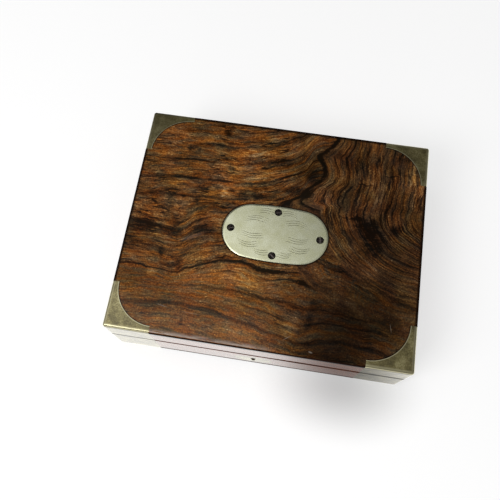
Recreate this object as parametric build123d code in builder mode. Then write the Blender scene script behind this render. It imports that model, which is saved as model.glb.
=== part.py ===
from build123d import *
from math import cos, hypot, radians, tan
import os

# A drawing instrument case: a polished hardwood box with a hinged lid, inlaid corner brackets, an oval
# nameplate, a box lock and a lined lift-out tray. Millimetres. The origin is the centre of the underside,
# +X is right, +Y is back and +Z is up.

# Case
case_length = 222.0
case_depth = 178.6
base_height = 33.4
lid_height = 26.9
wall_thickness = 9.0
top_thickness = 6.0
bottom_thickness = 5.0
seam_gap = 0.2
arris_radius = 2.0
foot_arris_radius = 1.2
seam_arris_radius = 0.35

# Corner brackets, folded from sheet and let in flush
bracket_arm = 34.0
bracket_arm_end = 5.0
bracket_thickness = 1.0
bracket_inside_radius = 1.0

# Nameplate: a cushion oval of two long side arcs and two end arcs
nameplate_length = 79.8
nameplate_width = 45.0
nameplate_side_radius = 205.0
nameplate_thickness = 1.5
nameplate_stand = 0.3
nameplate_edge_radius = 0.3
nameplate_gap = 0.15
nameplate_x = 1.1
nameplate_y = -1.15

# Countersunk slotted screws
countersink_angle = 90.0
pilot_clearance = 0.05
screw_slot_width = 0.8
screw_slot_depth = 0.7
screw_tip_length = 1.5

nameplate_screw_spacing_x = 67.6
nameplate_screw_spacing_y = 35.0
nameplate_screw_head_radius = 2.75
nameplate_screw_shank_radius = 1.4
nameplate_screw_length = 5.6
nameplate_screw_sink = 0.2
nameplate_screw_turns = (22.0, 98.0, -40.0, 15.0)

small_screw_head_radius = 2.1
small_screw_shank_radius = 0.95
small_screw_sink = 0.05
small_screw_turn = 31.0
hinge_screw_length = 9.0
lock_screw_length = 6.0
link_screw_length = 9.0

# Stopped butt hinges: lips behind the case meet when the lid is fully open
hinge_length = 38.0
hinge_bracket_clearance = 2.0
hinge_leaf_depth = 7.5
hinge_leaf_thickness = 1.5
hinge_pin_offset = 0.3
hinge_pin_radius = 0.9
hinge_pin_clearance = 0.05
hinge_knuckle_radius = 2.2
hinge_knuckle_count = 5
hinge_knuckle_gap = 0.1
hinge_knuckle_clearance = 0.15
hinge_lip_depth = 2.6
hinge_lip_height = 5.5
lid_opening_angle = 95.0
lid_stop_slack = 0.5
hinge_screw_pitch = 12.5
hinge_screw_inset = 4.7

# Keyhole and escutcheon
keyhole_x = -2.0
keyhole_drop = 14.0
keyhole_round_radius = 2.2
keyhole_slot_top_width = 3.0
keyhole_slot_end_radius = 1.1
keyhole_length = 10.6
escutcheon_width = 30.0
escutcheon_height = 21.0
escutcheon_thickness = 1.0
escutcheon_drop = 16.8

# Box lock, let into the front wall from inside
lock_plate_width = 60.0
lock_plate_height = 24.5
lock_plate_thickness = 1.2
selvedge_thickness = 1.5
lock_case_width = 48.0
lock_case_height = 22.5
lock_room = 4.8
lock_cap_thickness = 0.8
lock_mortise_clearance = 0.2
lock_screw_inset = 3.0
lock_screw_spacing_z = 15.0
lock_screw_drop = 12.8
drill_pin_radius = 1.1
drill_pin_length = 6.6
drill_pin_rounding = 0.35
pillar_radius = 0.9
lower_pillar_spacing = 40.0
lower_pillar_rise = 3.0

# Link plate under the lid, with two staples that the bolt's horns pass through
link_spacing = 28.0
link_thickness = 2.0
link_width = 4.0
link_window_width = 2.4
link_window_height = 3.0
link_sill = 1.1
link_slot_clearance = 0.4
link_plate_thickness = 1.5

# Bolt, which slides to the right to lock
bolt_travel = 4.0
bolt_thickness = 1.8
bolt_body_height = 4.4
bolt_under_link = 0.5
bolt_end = 1.5
horn_drop = 4.0
horn_length = 4.2
horn_height = 2.2
horn_rest_gap = 0.5
horn_post_width = 3.0
talon_width = 4.4
talon_height = 1.6
guide_clearance = 0.1
guide_left = 12.0
guide_right = 7.5
spring_thickness = 0.5
spring_foot_start = 9.5
spring_foot_length = 3.0
spring_reach = 9.0
spring_tip_gap = 0.06

# Well, tray bearers and lining
bearer_thickness = 3.0
bearer_height = 11.0
lining_thickness = 1.0

# Lift-out tray
tray_clearance = 0.5
tray_wall_thickness = 3.0
tray_wall_height = 15.5
tray_bottom_thickness = 2.4
tray_wall_rounding = 0.8
partition_thickness = 5.0
partition_height = 10.0
partition_rounding = 1.6
partition_joint_gap = 0.1
long_compartment_width = 30.0
end_compartment_length = 60.0
rest_length = 9.0
rest_width = 8.0
rest_height = 8.6
rest_rounding = 1.5
rest_slot = 12.0
long_rest_pitch = 128.0
cross_rest_pitch = 48.0
ribbon_width = 10.0
ribbon_thickness = 0.8
ribbon_drop = 8.0
ribbon_reach = 14.0
ribbon_fold_radius = 1.2
ribbon_below_rim = 0.6

# Lid pad
pad_clearance = 0.7
pad_board_thickness = 1.5
pad_thickness = 5.5
pad_crown = 2.0
pad_corner_radius = 4.0
pad_edge_radius = 3.0

# Places that follow from the sizes
half_length = case_length / 2
half_depth = case_depth / 2
case_height = base_height + lid_height
base_top = base_height - seam_gap / 2
lid_bottom = base_height + seam_gap / 2
lid_wall_top = case_height - top_thickness
inside_half_length = half_length - wall_thickness
inside_half_depth = half_depth - wall_thickness
nameplate_top = case_height + nameplate_stand
nameplate_floor = nameplate_top - nameplate_thickness
hinge_pin_y = half_depth + hinge_pin_offset
stop_angle = (lid_opening_angle + lid_stop_slack) / 2
hinge_x = half_length - bracket_arm - hinge_bracket_clearance - hinge_length / 2
hinge_centres = (-hinge_x, hinge_x)
lock_face_y = -inside_half_depth
lock_inside_y = lock_face_y - lock_plate_thickness
cap_inside_y = lock_inside_y - lock_room
cap_outside_y = cap_inside_y - lock_cap_thickness
bolt_y = lock_inside_y - lock_room / 2
keyhole_z = base_height - keyhole_drop
escutcheon_z = base_height - escutcheon_drop
selvedge_underside = base_top - selvedge_thickness
horn_z = base_top - horn_drop
link_bottom = horn_z - link_window_height / 2 - link_sill
link_places = (keyhole_x - link_spacing / 2, keyhole_x + link_spacing / 2)
bolt_body_top = link_bottom - bolt_under_link
bolt_body_middle = bolt_body_top - bolt_body_height / 2
guide_places = (keyhole_x - guide_left, keyhole_x + guide_right)
bearer_top = bottom_thickness + bearer_height
tray_half_length = inside_half_length - tray_clearance
tray_half_depth = inside_half_depth - tray_clearance
tray_room_half_length = tray_half_length - tray_wall_thickness
tray_room_half_depth = tray_half_depth - tray_wall_thickness
tray_floor = bearer_top + tray_bottom_thickness + lining_thickness
tray_rim = bearer_top + tray_wall_height
long_partition_y = tray_room_half_depth - long_compartment_width - partition_thickness / 2
cross_partition_x = tray_room_half_length - end_compartment_length - partition_thickness / 2
pad_board_bottom = lid_wall_top - pad_board_thickness
pad_half_length = inside_half_length - pad_clearance
pad_half_depth = inside_half_depth - pad_clearance

os.makedirs("parts", exist_ok=True)


def save(builder, label):
    builder.part.label = label
    export_step(builder.part, f"parts/{label}.step")


# Shared shapes


def mitred_board(side, length, depth, thickness, bottom, height):
    """One wall of a mitred frame: side 0 is the front, then right, back and left."""
    x, y = length / 2, depth / 2
    outer = [(-x, -y), (x, -y), (x, y), (-x, y)]
    x, y = x - thickness, y - thickness
    inner = [(-x, -y), (x, -y), (x, y), (-x, y)]
    following = (side + 1) % 4
    with BuildPart() as board:
        with BuildSketch(Plane.XY.offset(bottom)):
            with BuildLine():
                Polyline(outer[side], outer[following], inner[following], inner[side], close=True)
            make_face()
        extrude(amount=height)
    return board.part


def oval_face(length, width, side_radius):
    """A cushion oval whose side and end arcs run into each other without a corner."""
    a, b = length / 2, width / 2
    end_radius = (2 * side_radius * b - a**2 - b**2) / (2 * (side_radius - a))
    reach = side_radius / (side_radius - end_radius)
    joint_x = (a - end_radius) * reach
    joint_y = b - side_radius + (side_radius - b) * reach
    with BuildSketch() as face:
        with BuildLine():
            ThreePointArc((-joint_x, joint_y), (0, b), (joint_x, joint_y))
            ThreePointArc((joint_x, joint_y), (a, 0), (joint_x, -joint_y))
            ThreePointArc((joint_x, -joint_y), (0, -b), (-joint_x, -joint_y))
            ThreePointArc((-joint_x, -joint_y), (-a, 0), (-joint_x, joint_y))
        make_face()
    return face.sketch


def keyhole_face():
    """A round for the key's pipe over a slot that narrows downwards, drawn about the round's centre."""
    slot_end = keyhole_round_radius - keyhole_length + keyhole_slot_end_radius
    with BuildSketch() as face:
        Circle(keyhole_round_radius)
        with BuildLine():
            Polyline(
                (-keyhole_slot_top_width / 2, 0),
                (keyhole_slot_top_width / 2, 0),
                (keyhole_slot_end_radius, slot_end),
                (-keyhole_slot_end_radius, slot_end),
                close=True,
            )
        make_face()
        with Locations((0, slot_end)):
            Circle(keyhole_slot_end_radius)
    return face.sketch


def countersunk_screw(head_radius, shank_radius, length):
    """A slotted screw whose flat head is at the origin and whose shank points down."""
    cone = (head_radius - shank_radius) / tan(radians(countersink_angle / 2))
    with BuildPart() as screw:
        with BuildSketch(Plane.XZ):
            with BuildLine():
                Polyline(
                    (0, 0),
                    (head_radius, 0),
                    (shank_radius, -cone),
                    (shank_radius, screw_tip_length - length),
                    (0, -length),
                    close=True,
                )
            make_face()
        revolve(axis=Axis.Z)
        with BuildSketch():
            Rectangle(2 * (head_radius + screw_slot_width), screw_slot_width)
        extrude(amount=-screw_slot_depth, mode=Mode.SUBTRACT)
    return screw.part


def drill_for_screw(head_radius, shank_radius, sink, length):
    """The countersunk way of a screw whose head lies sunk below the face, through plate and wood alike."""
    CounterSinkHole(
        shank_radius + pilot_clearance,
        head_radius + sink,
        depth=sink + length + pilot_clearance,
        counter_sink_angle=countersink_angle,
    )


def drill_nameplate_screws():
    with Locations(*[(x, y, nameplate_top) for x, y in nameplate_screw_places]):
        drill_for_screw(
            nameplate_screw_head_radius,
            nameplate_screw_shank_radius,
            nameplate_screw_sink,
            nameplate_screw_length,
        )


def drill_small_screws(places, into, length):
    with Locations(*[Plane(place, z_dir=(-into[0], -into[1], -into[2])) for place in places]):
        drill_for_screw(small_screw_head_radius, small_screw_shank_radius, small_screw_sink, length)


def screw_seat(place, into):
    """Where a small screw's head lies: sunk below its place, with the slot turned as it was left."""
    sunk = Vector(place) + Vector(into) * small_screw_sink
    seat = Plane(sunk, z_dir=Vector(into) * -1)
    return seat.location * Location((0, 0, 0), (0, 0, small_screw_turn * sum(place)))


# Finished outsides of the lid and the base, from which every outer piece is cut

with BuildPart() as lid_outside:
    with BuildSketch(Plane.XY.offset(lid_bottom)):
        Rectangle(case_length, case_depth)
    extrude(amount=case_height - lid_bottom)
    upright_edges = lid_outside.edges().filter_by(Axis.Z)
    top_edges = lid_outside.edges().group_by(Axis.Z)[-1]
    fillet(upright_edges + top_edges, arris_radius)
    fillet(lid_outside.edges().group_by(Axis.Z)[0], seam_arris_radius)

with BuildPart() as base_outside:
    with BuildSketch():
        Rectangle(case_length, case_depth)
    extrude(amount=base_top)
    fillet(base_outside.edges().filter_by(Axis.Z), arris_radius)
    fillet(base_outside.edges().group_by(Axis.Z)[0], foot_arris_radius)
    fillet(base_outside.edges().group_by(Axis.Z)[-1], seam_arris_radius)

# What the brackets fold round: the outsides less the brackets' thickness

with BuildPart() as lid_core:
    with BuildSketch(Plane.XY.offset(lid_bottom)):
        Rectangle(case_length - 2 * bracket_thickness, case_depth - 2 * bracket_thickness)
    extrude(amount=case_height - bracket_thickness - lid_bottom)
    upright_edges = lid_core.edges().filter_by(Axis.Z)
    top_edges = lid_core.edges().group_by(Axis.Z)[-1]
    fillet(upright_edges + top_edges, bracket_inside_radius)

with BuildPart() as base_core:
    with BuildSketch(Plane.XY.offset(bracket_thickness)):
        Rectangle(case_length - 2 * bracket_thickness, case_depth - 2 * bracket_thickness)
    extrude(amount=base_top - bracket_thickness)
    upright_edges = base_core.edges().filter_by(Axis.Z)
    bottom_edges = base_core.edges().group_by(Axis.Z)[0]
    fillet(upright_edges + bottom_edges, bracket_inside_radius)

# Corner brackets


def corner_bracket(outside, core, right, back):
    """A three-sided bracket; right and back are 1 or -1 and name the corner."""

    def from_corner(along_x, along_y):
        return (right * (half_length - along_x), back * (half_depth - along_y))

    arc_middle = bracket_arm - (bracket_arm - bracket_arm_end) * cos(radians(45))
    with BuildPart() as bracket:
        with BuildSketch():
            with BuildLine():
                Polyline(
                    from_corner(bracket_arm_end, bracket_arm),
                    from_corner(0, bracket_arm),
                    from_corner(0, 0),
                    from_corner(bracket_arm, 0),
                    from_corner(bracket_arm, bracket_arm_end),
                )
                ThreePointArc(
                    from_corner(bracket_arm, bracket_arm_end),
                    from_corner(arc_middle, arc_middle),
                    from_corner(bracket_arm_end, bracket_arm),
                )
            make_face()
        extrude(amount=case_height)
        add(outside, mode=Mode.INTERSECT)
        add(core, mode=Mode.SUBTRACT)
    return bracket


corners = {"front_left": (-1, -1), "front_right": (1, -1), "back_left": (-1, 1), "back_right": (1, 1)}
lid_brackets = []
base_brackets = []
for corner, (right, back) in corners.items():
    lid_bracket = corner_bracket(lid_outside.part, lid_core.part, right, back)
    lid_brackets.append(lid_bracket.part)
    save(lid_bracket, f"lid_bracket_{corner}")
    base_bracket = corner_bracket(base_outside.part, base_core.part, right, back)
    base_brackets.append(base_bracket.part)
    save(base_bracket, f"base_bracket_{corner}")

# Nameplate and its screws

nameplate_face = oval_face(nameplate_length, nameplate_width, nameplate_side_radius)
nameplate_screw_places = [
    (nameplate_x - nameplate_screw_spacing_x / 2, nameplate_y),
    (nameplate_x + nameplate_screw_spacing_x / 2, nameplate_y),
    (nameplate_x, nameplate_y - nameplate_screw_spacing_y / 2),
    (nameplate_x, nameplate_y + nameplate_screw_spacing_y / 2),
]

with BuildPart() as nameplate:
    with BuildSketch(Plane.XY.offset(nameplate_floor)):
        with Locations((nameplate_x, nameplate_y)):
            add(nameplate_face)
    extrude(amount=nameplate_thickness)
    fillet(nameplate.edges().group_by(Axis.Z)[-1], nameplate_edge_radius)
    drill_nameplate_screws()
save(nameplate, "nameplate")

nameplate_screw = countersunk_screw(
    nameplate_screw_head_radius, nameplate_screw_shank_radius, nameplate_screw_length
)
with BuildPart() as nameplate_screws:
    for (x, y), turn in zip(nameplate_screw_places, nameplate_screw_turns):
        with Locations(Location((x, y, nameplate_top - nameplate_screw_sink), (0, 0, turn))):
            add(nameplate_screw)
save(nameplate_screws, "nameplate_screws")

# Lid top board

with BuildPart() as lid_top_board:
    add(lid_outside.part)
    split(bisect_by=Plane.XY.offset(lid_wall_top), keep=Keep.TOP)
    for bracket in lid_brackets:
        add(bracket, mode=Mode.SUBTRACT)
    with BuildSketch(Plane.XY.offset(nameplate_floor)):
        with Locations((nameplate_x, nameplate_y)):
            add(nameplate_face)
            offset(amount=nameplate_gap)
    extrude(amount=nameplate_thickness, mode=Mode.SUBTRACT)
    drill_nameplate_screws()
save(lid_top_board, "lid_top_board")

# Walls of the lid and the base before their fittings are let in


def case_wall(side, outside, brackets, bottom, height):
    with BuildPart() as wall:
        add(mitred_board(side, case_length, case_depth, wall_thickness, bottom, height))
        add(outside, mode=Mode.INTERSECT)
        for bracket in brackets:
            add(bracket, mode=Mode.SUBTRACT)
    return wall.part


def lid_wall(side):
    return case_wall(side, lid_outside.part, lid_brackets, lid_bottom, lid_wall_top - lid_bottom)


def base_wall(side):
    return case_wall(side, base_outside.part, base_brackets, bottom_thickness, base_top - bottom_thickness)


def hinge_screw_places(centres, height):
    return [
        (centre + step * hinge_screw_pitch, half_depth - hinge_screw_inset, height)
        for centre in centres
        for step in (-1, 0, 1)
    ]


def hinge_mortises(leaf_low, leaf_high):
    """Beds for both leaves of one half, with a hollow along the back for the knuckles."""
    with BuildPart() as mortises:
        for centre in hinge_centres:
            with BuildSketch(Plane.YZ.offset(centre - hinge_length / 2)):
                with BuildLine():
                    Polyline(
                        (half_depth - hinge_leaf_depth, leaf_low),
                        (hinge_pin_y, leaf_low),
                        (hinge_pin_y, leaf_high),
                        (half_depth - hinge_leaf_depth, leaf_high),
                        close=True,
                    )
                make_face()
                with Locations((hinge_pin_y, base_height)):
                    Circle(hinge_knuckle_radius + hinge_knuckle_clearance)
            extrude(amount=hinge_length)
    return mortises.part


with BuildPart() as lid_back_wall:
    add(lid_wall(2))
    add(hinge_mortises(lid_bottom, lid_bottom + hinge_leaf_thickness), mode=Mode.SUBTRACT)
    drill_small_screws(hinge_screw_places(hinge_centres, lid_bottom), (0, 0, 1), hinge_screw_length)
save(lid_back_wall, "lid_back_wall")

with BuildPart() as base_back_wall:
    add(base_wall(2))
    add(hinge_mortises(base_top - hinge_leaf_thickness, base_top), mode=Mode.SUBTRACT)
    drill_small_screws(hinge_screw_places(hinge_centres, base_top), (0, 0, -1), hinge_screw_length)
save(base_back_wall, "base_back_wall")

for side, name in ((1, "right"), (3, "left")):
    with BuildPart() as lid_side_wall:
        add(lid_wall(side))
    save(lid_side_wall, f"lid_{name}_wall")
    with BuildPart() as base_side_wall:
        add(base_wall(side))
    save(base_side_wall, f"base_{name}_wall")

with BuildPart() as base_bottom_board:
    add(base_outside.part)
    split(bisect_by=Plane.XY.offset(bottom_thickness), keep=Keep.BOTTOM)
    for bracket in base_brackets:
        add(bracket, mode=Mode.SUBTRACT)
save(base_bottom_board, "base_bottom_board")

# Hinges


def hinge_leaf(centre, up):
    """One leaf: up is 1 for the lid's leaf and -1 for the base's, which has the outer knuckles."""
    start = centre - hinge_length / 2
    knuckle_pitch = hinge_length / hinge_knuckle_count
    own_first = 1 if up > 0 else 0
    face = base_height + up * seam_gap / 2
    plate_back = face + up * hinge_leaf_thickness
    lip_face = hinge_lip_depth * tan(radians(stop_angle))
    bore = hinge_pin_radius + (hinge_pin_clearance if up > 0 else 0)
    with BuildPart() as leaf:
        with BuildSketch(Plane.YZ.offset(start)):
            with BuildLine():
                Polyline(
                    (half_depth - hinge_leaf_depth, face),
                    (hinge_pin_y, face),
                    (hinge_pin_y, plate_back),
                    (half_depth - hinge_leaf_depth, plate_back),
                    close=True,
                )
            make_face()
            with BuildLine():
                Polyline(
                    (hinge_pin_y, base_height),
                    (hinge_pin_y + hinge_lip_depth, base_height + up * lip_face),
                    (hinge_pin_y + hinge_lip_depth, base_height + up * hinge_lip_height),
                    (half_depth, base_height + up * hinge_lip_height),
                    (half_depth, base_height + up * seam_gap / 2),
                    close=True,
                )
            make_face()
        extrude(amount=hinge_length)
        for knuckle in range(hinge_knuckle_count):
            left = start + knuckle * knuckle_pitch
            if knuckle % 2 == own_first:
                with BuildSketch(Plane.YZ.offset(left)):
                    with Locations((hinge_pin_y, base_height)):
                        Circle(hinge_knuckle_radius)
                extrude(amount=knuckle_pitch)
        for knuckle in range(hinge_knuckle_count):
            left = start + knuckle * knuckle_pitch
            if knuckle % 2 != own_first:
                with BuildSketch(Plane.YZ.offset(left - hinge_knuckle_gap / 2)):
                    with Locations((hinge_pin_y, base_height)):
                        Circle(hinge_knuckle_radius + hinge_knuckle_clearance)
                extrude(amount=knuckle_pitch + hinge_knuckle_gap, mode=Mode.SUBTRACT)
        with BuildSketch(Plane.YZ.offset(start)):
            with Locations((hinge_pin_y, base_height)):
                Circle(bore)
        extrude(amount=hinge_length, mode=Mode.SUBTRACT)
        drill_small_screws(hinge_screw_places((centre,), face), (0, 0, up), hinge_screw_length)
    return leaf


hinge_screw = countersunk_screw(small_screw_head_radius, small_screw_shank_radius, hinge_screw_length)

for name, centre in zip(("left", "right"), hinge_centres):
    upper_leaf = hinge_leaf(centre, 1)
    save(upper_leaf, f"hinge_upper_leaf_{name}")
    lower_leaf = hinge_leaf(centre, -1)
    save(lower_leaf, f"hinge_lower_leaf_{name}")
    with BuildPart() as hinge_pin:
        with BuildSketch(Plane.YZ.offset(centre - hinge_length / 2)):
            with Locations((hinge_pin_y, base_height)):
                Circle(hinge_pin_radius)
        extrude(amount=hinge_length)
    save(hinge_pin, f"hinge_pin_{name}")

with BuildPart() as hinge_upper_screws:
    for place in hinge_screw_places(hinge_centres, lid_bottom):
        with Locations(screw_seat(place, (0, 0, 1))):
            add(hinge_screw)
save(hinge_upper_screws, "hinge_upper_screws")

with BuildPart() as hinge_lower_screws:
    for place in hinge_screw_places(hinge_centres, base_top):
        with Locations(screw_seat(place, (0, 0, -1))):
            add(hinge_screw)
save(hinge_lower_screws, "hinge_lower_screws")

# Lock: places shared by its pieces and the wood that they are let into

lock_screw_x = lock_plate_width / 2 - lock_screw_inset
lock_screw_places = [
    (
        keyhole_x + across * lock_screw_x,
        lock_face_y,
        base_top - lock_screw_drop + rise * lock_screw_spacing_z / 2,
    )
    for across in (-1, 1)
    for rise in (-1, 1)
]
link_screw_places = [(keyhole_x + across * lock_screw_x, bolt_y, lid_bottom) for across in (-1, 1)]
lower_pillar_z = base_top - lock_case_height + lower_pillar_rise
pillar_places = [(x, bolt_body_middle) for x in guide_places]
pillar_places += [(keyhole_x + across * lower_pillar_spacing / 2, lower_pillar_z) for across in (-1, 1)]


def block(x_range, y_range, z_range):
    """A plain block between two values on each axis."""
    with BuildPart() as solid:
        with BuildSketch(Plane.XY.offset(z_range[0])):
            with Locations(((x_range[0] + x_range[1]) / 2, (y_range[0] + y_range[1]) / 2)):
                Rectangle(x_range[1] - x_range[0], y_range[1] - y_range[0])
        extrude(amount=z_range[1] - z_range[0])
    return solid.part


def around(centre, width):
    return (centre - width / 2, centre + width / 2)


lock_plate_blank = block(
    around(keyhole_x, lock_plate_width),
    (lock_inside_y, lock_face_y),
    (base_top - lock_plate_height, base_top),
)
selvedge_blank = block(
    around(keyhole_x, lock_plate_width),
    (cap_outside_y, lock_face_y),
    (selvedge_underside, base_top),
)
link_plate_blank = block(
    around(keyhole_x, lock_plate_width),
    (cap_outside_y, lock_face_y),
    (lid_bottom, lid_bottom + link_plate_thickness),
)

with BuildPart() as lid_front_wall:
    add(lid_wall(0))
    add(link_plate_blank, mode=Mode.SUBTRACT)
    drill_small_screws(link_screw_places, (0, 0, 1), link_screw_length)
save(lid_front_wall, "lid_front_wall")

with BuildPart() as base_front_wall:
    add(base_wall(0))
    mortise_width = lock_case_width + 2 * lock_mortise_clearance
    mortise = block(
        around(keyhole_x, mortise_width),
        (cap_outside_y - lock_mortise_clearance, lock_face_y),
        (base_top - lock_case_height - lock_mortise_clearance, base_top),
    )
    add(mortise, mode=Mode.SUBTRACT)
    add(lock_plate_blank, mode=Mode.SUBTRACT)
    add(selvedge_blank, mode=Mode.SUBTRACT)
    with BuildSketch(Plane.XZ.offset(half_depth)):
        with Locations((keyhole_x, escutcheon_z)):
            Ellipse(escutcheon_width / 2, escutcheon_height / 2)
    extrude(amount=-escutcheon_thickness, mode=Mode.SUBTRACT)
    with BuildSketch(Plane.XZ.offset(half_depth)):
        with Locations((keyhole_x, keyhole_z)):
            add(keyhole_face())
    extrude(amount=-wall_thickness, mode=Mode.SUBTRACT)
    drill_small_screws(lock_screw_places, (0, -1, 0), lock_screw_length)
save(base_front_wall, "base_front_wall")

with BuildPart() as escutcheon:
    with BuildSketch(Plane.XZ.offset(half_depth)):
        with Locations((keyhole_x, escutcheon_z)):
            Ellipse(escutcheon_width / 2, escutcheon_height / 2)
        with Locations((keyhole_x, keyhole_z)):
            add(keyhole_face(), mode=Mode.SUBTRACT)
    extrude(amount=-escutcheon_thickness)
save(escutcheon, "escutcheon")

with BuildPart() as lock_plate:
    add(lock_plate_blank)
    add(selvedge_blank)
    for x in link_places:
        link_slot = block(
            around(x, link_thickness + 2 * link_slot_clearance),
            around(bolt_y, link_width + 2 * link_slot_clearance),
            (selvedge_underside, base_top),
        )
        add(link_slot, mode=Mode.SUBTRACT)
    drill_small_screws(lock_screw_places, (0, -1, 0), lock_screw_length)
    with BuildSketch(Plane.XZ.offset(-lock_face_y)):
        with Locations(*pillar_places):
            Circle(pillar_radius)
        with Locations((keyhole_x, keyhole_z)):
            Circle(drill_pin_radius)
    extrude(amount=lock_plate_thickness, mode=Mode.SUBTRACT)
save(lock_plate, "lock_plate")

with BuildPart() as lock_cap:
    add(
        block(
            around(keyhole_x, lock_case_width),
            (cap_outside_y, cap_inside_y),
            (base_top - lock_case_height, selvedge_underside),
        )
    )
    with BuildSketch(Plane.XZ.offset(-cap_inside_y)):
        with Locations(*pillar_places):
            Circle(pillar_radius)
        with Locations((keyhole_x, keyhole_z)):
            add(keyhole_face())
    extrude(amount=lock_cap_thickness, mode=Mode.SUBTRACT)
save(lock_cap, "lock_cap")

with BuildPart() as lock_pillars:
    with BuildSketch(Plane.XZ.offset(-lock_face_y)):
        with Locations(*pillar_places):
            Circle(pillar_radius)
    extrude(amount=lock_face_y - cap_outside_y)
save(lock_pillars, "lock_pillars")

with BuildPart() as lock_drill_pin:
    with BuildSketch(Plane.XZ.offset(-lock_face_y)):
        with Locations((keyhole_x, keyhole_z)):
            Circle(drill_pin_radius)
    extrude(amount=lock_plate_thickness + drill_pin_length)
    fillet(lock_drill_pin.edges().group_by(Axis.Y)[0], drill_pin_rounding)
save(lock_drill_pin, "lock_drill_pin")

lock_screw = countersunk_screw(small_screw_head_radius, small_screw_shank_radius, lock_screw_length)
with BuildPart() as lock_plate_screws:
    for place in lock_screw_places:
        with Locations(screw_seat(place, (0, -1, 0))):
            add(lock_screw)
save(lock_plate_screws, "lock_plate_screws")

# Link plate

with BuildPart() as link_plate:
    add(link_plate_blank)
    for x in link_places:
        add(block(around(x, link_thickness), around(bolt_y, link_width), (link_bottom, lid_bottom)))
        window = block(
            around(x, link_thickness), around(bolt_y, link_window_width), around(horn_z, link_window_height)
        )
        add(window, mode=Mode.SUBTRACT)
    drill_small_screws(link_screw_places, (0, 0, 1), link_screw_length)
save(link_plate, "link_plate")

link_screw = countersunk_screw(small_screw_head_radius, small_screw_shank_radius, link_screw_length)
with BuildPart() as link_plate_screws:
    for place in link_screw_places:
        with Locations(screw_seat(place, (0, 0, 1))):
            add(link_screw)
save(link_plate_screws, "link_plate_screws")

# Bolt and the leaf spring that it carries

with BuildPart() as lock_bolt:
    post_rights = [x - link_thickness / 2 - horn_rest_gap - horn_length for x in link_places]
    bolt_left = post_rights[0] - horn_post_width
    bolt_right = guide_places[1] + pillar_radius + guide_clearance + bolt_end
    bolt_bottom = bolt_body_top - bolt_body_height
    horn_top = horn_z + horn_height / 2
    add(block((bolt_left, bolt_right), around(bolt_y, bolt_thickness), (bolt_bottom, bolt_body_top)))
    for post_right in post_rights:
        add(
            block(
                (post_right - horn_post_width, post_right),
                around(bolt_y, bolt_thickness),
                (bolt_body_top, horn_top),
            )
        )
        add(
            block(
                (post_right, post_right + horn_length),
                around(bolt_y, bolt_thickness),
                around(horn_z, horn_height),
            )
        )
    with BuildSketch(Plane.XZ.offset(-bolt_y - bolt_thickness / 2)):
        for x in guide_places:
            with Locations((x - bolt_travel / 2, bolt_body_middle)):
                SlotCenterToCenter(bolt_travel, 2 * (pillar_radius + guide_clearance))
        with Locations((keyhole_x - bolt_travel / 2, bolt_bottom + talon_height / 2)):
            Rectangle(talon_width, talon_height)
    extrude(amount=bolt_thickness, mode=Mode.SUBTRACT)
save(lock_bolt, "lock_bolt")

with BuildPart() as lock_spring:
    foot_z = bolt_body_top + spring_thickness / 2
    tip_z = selvedge_underside - spring_tip_gap - spring_thickness / 2
    foot_x = keyhole_x - spring_foot_start
    bend_x = foot_x + spring_foot_length
    middle = (bend_x + spring_reach / 2, (foot_z + tip_z) / 2)
    with BuildSketch(Plane.XZ.offset(-bolt_y - bolt_thickness / 2)):
        with BuildLine() as leaf_line:
            Line((foot_x, foot_z), (bend_x, foot_z))
            rise = TangentArc((bend_x, foot_z), middle, tangent=(1, 0))
            TangentArc(middle, (bend_x + spring_reach, tip_z), tangent=rise % 1)
        trace(leaf_line.line, spring_thickness)
    extrude(amount=bolt_thickness)
save(lock_spring, "lock_spring")

# Bearers round the well and its floor lining

for side, name in enumerate(("front", "right", "back", "left")):
    with BuildPart() as tray_bearer:
        add(
            mitred_board(
                side,
                2 * inside_half_length,
                2 * inside_half_depth,
                bearer_thickness,
                bottom_thickness,
                bearer_height,
            )
        )
    save(tray_bearer, f"tray_bearer_{name}")

with BuildPart() as well_floor_lining:
    with BuildSketch(Plane.XY.offset(bottom_thickness)):
        Rectangle(2 * (inside_half_length - bearer_thickness), 2 * (inside_half_depth - bearer_thickness))
    extrude(amount=lining_thickness)
save(well_floor_lining, "well_floor_lining")

# Tray

with BuildPart() as tray_bottom:
    with BuildSketch(Plane.XY.offset(bearer_top)):
        Rectangle(2 * tray_room_half_length, 2 * tray_room_half_depth)
    extrude(amount=tray_bottom_thickness)
save(tray_bottom, "tray_bottom")

for side, name in enumerate(("front", "right", "back", "left")):
    along = Axis.X if name in ("front", "back") else Axis.Y
    with BuildPart() as tray_wall:
        add(
            mitred_board(
                side,
                2 * tray_half_length,
                2 * tray_half_depth,
                tray_wall_thickness,
                bearer_top,
                tray_wall_height,
            )
        )
        fillet(tray_wall.edges().group_by(Axis.Z)[-1].filter_by(along), tray_wall_rounding)
    save(tray_wall, f"tray_{name}_wall")

with BuildPart() as tray_floor_lining:
    with BuildSketch(Plane.XY.offset(bearer_top + tray_bottom_thickness)):
        Rectangle(2 * tray_room_half_length, 2 * tray_room_half_depth)
    extrude(amount=lining_thickness)
save(tray_floor_lining, "tray_floor_lining")

with BuildPart() as long_partition:
    with BuildSketch(Plane.XY.offset(tray_floor)):
        Rectangle(2 * tray_room_half_length, partition_thickness)
    extrude(amount=partition_height)
    fillet(long_partition.edges().group_by(Axis.Z)[-1].filter_by(Axis.X), partition_rounding)

with BuildPart() as cross_partition:
    with BuildSketch(Plane.XY.offset(tray_floor)):
        Rectangle(partition_thickness, 2 * long_partition_y - partition_thickness - 2 * partition_joint_gap)
    extrude(amount=partition_height)
    fillet(cross_partition.edges().group_by(Axis.Z)[-1].filter_by(Axis.Y), partition_rounding)

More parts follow.
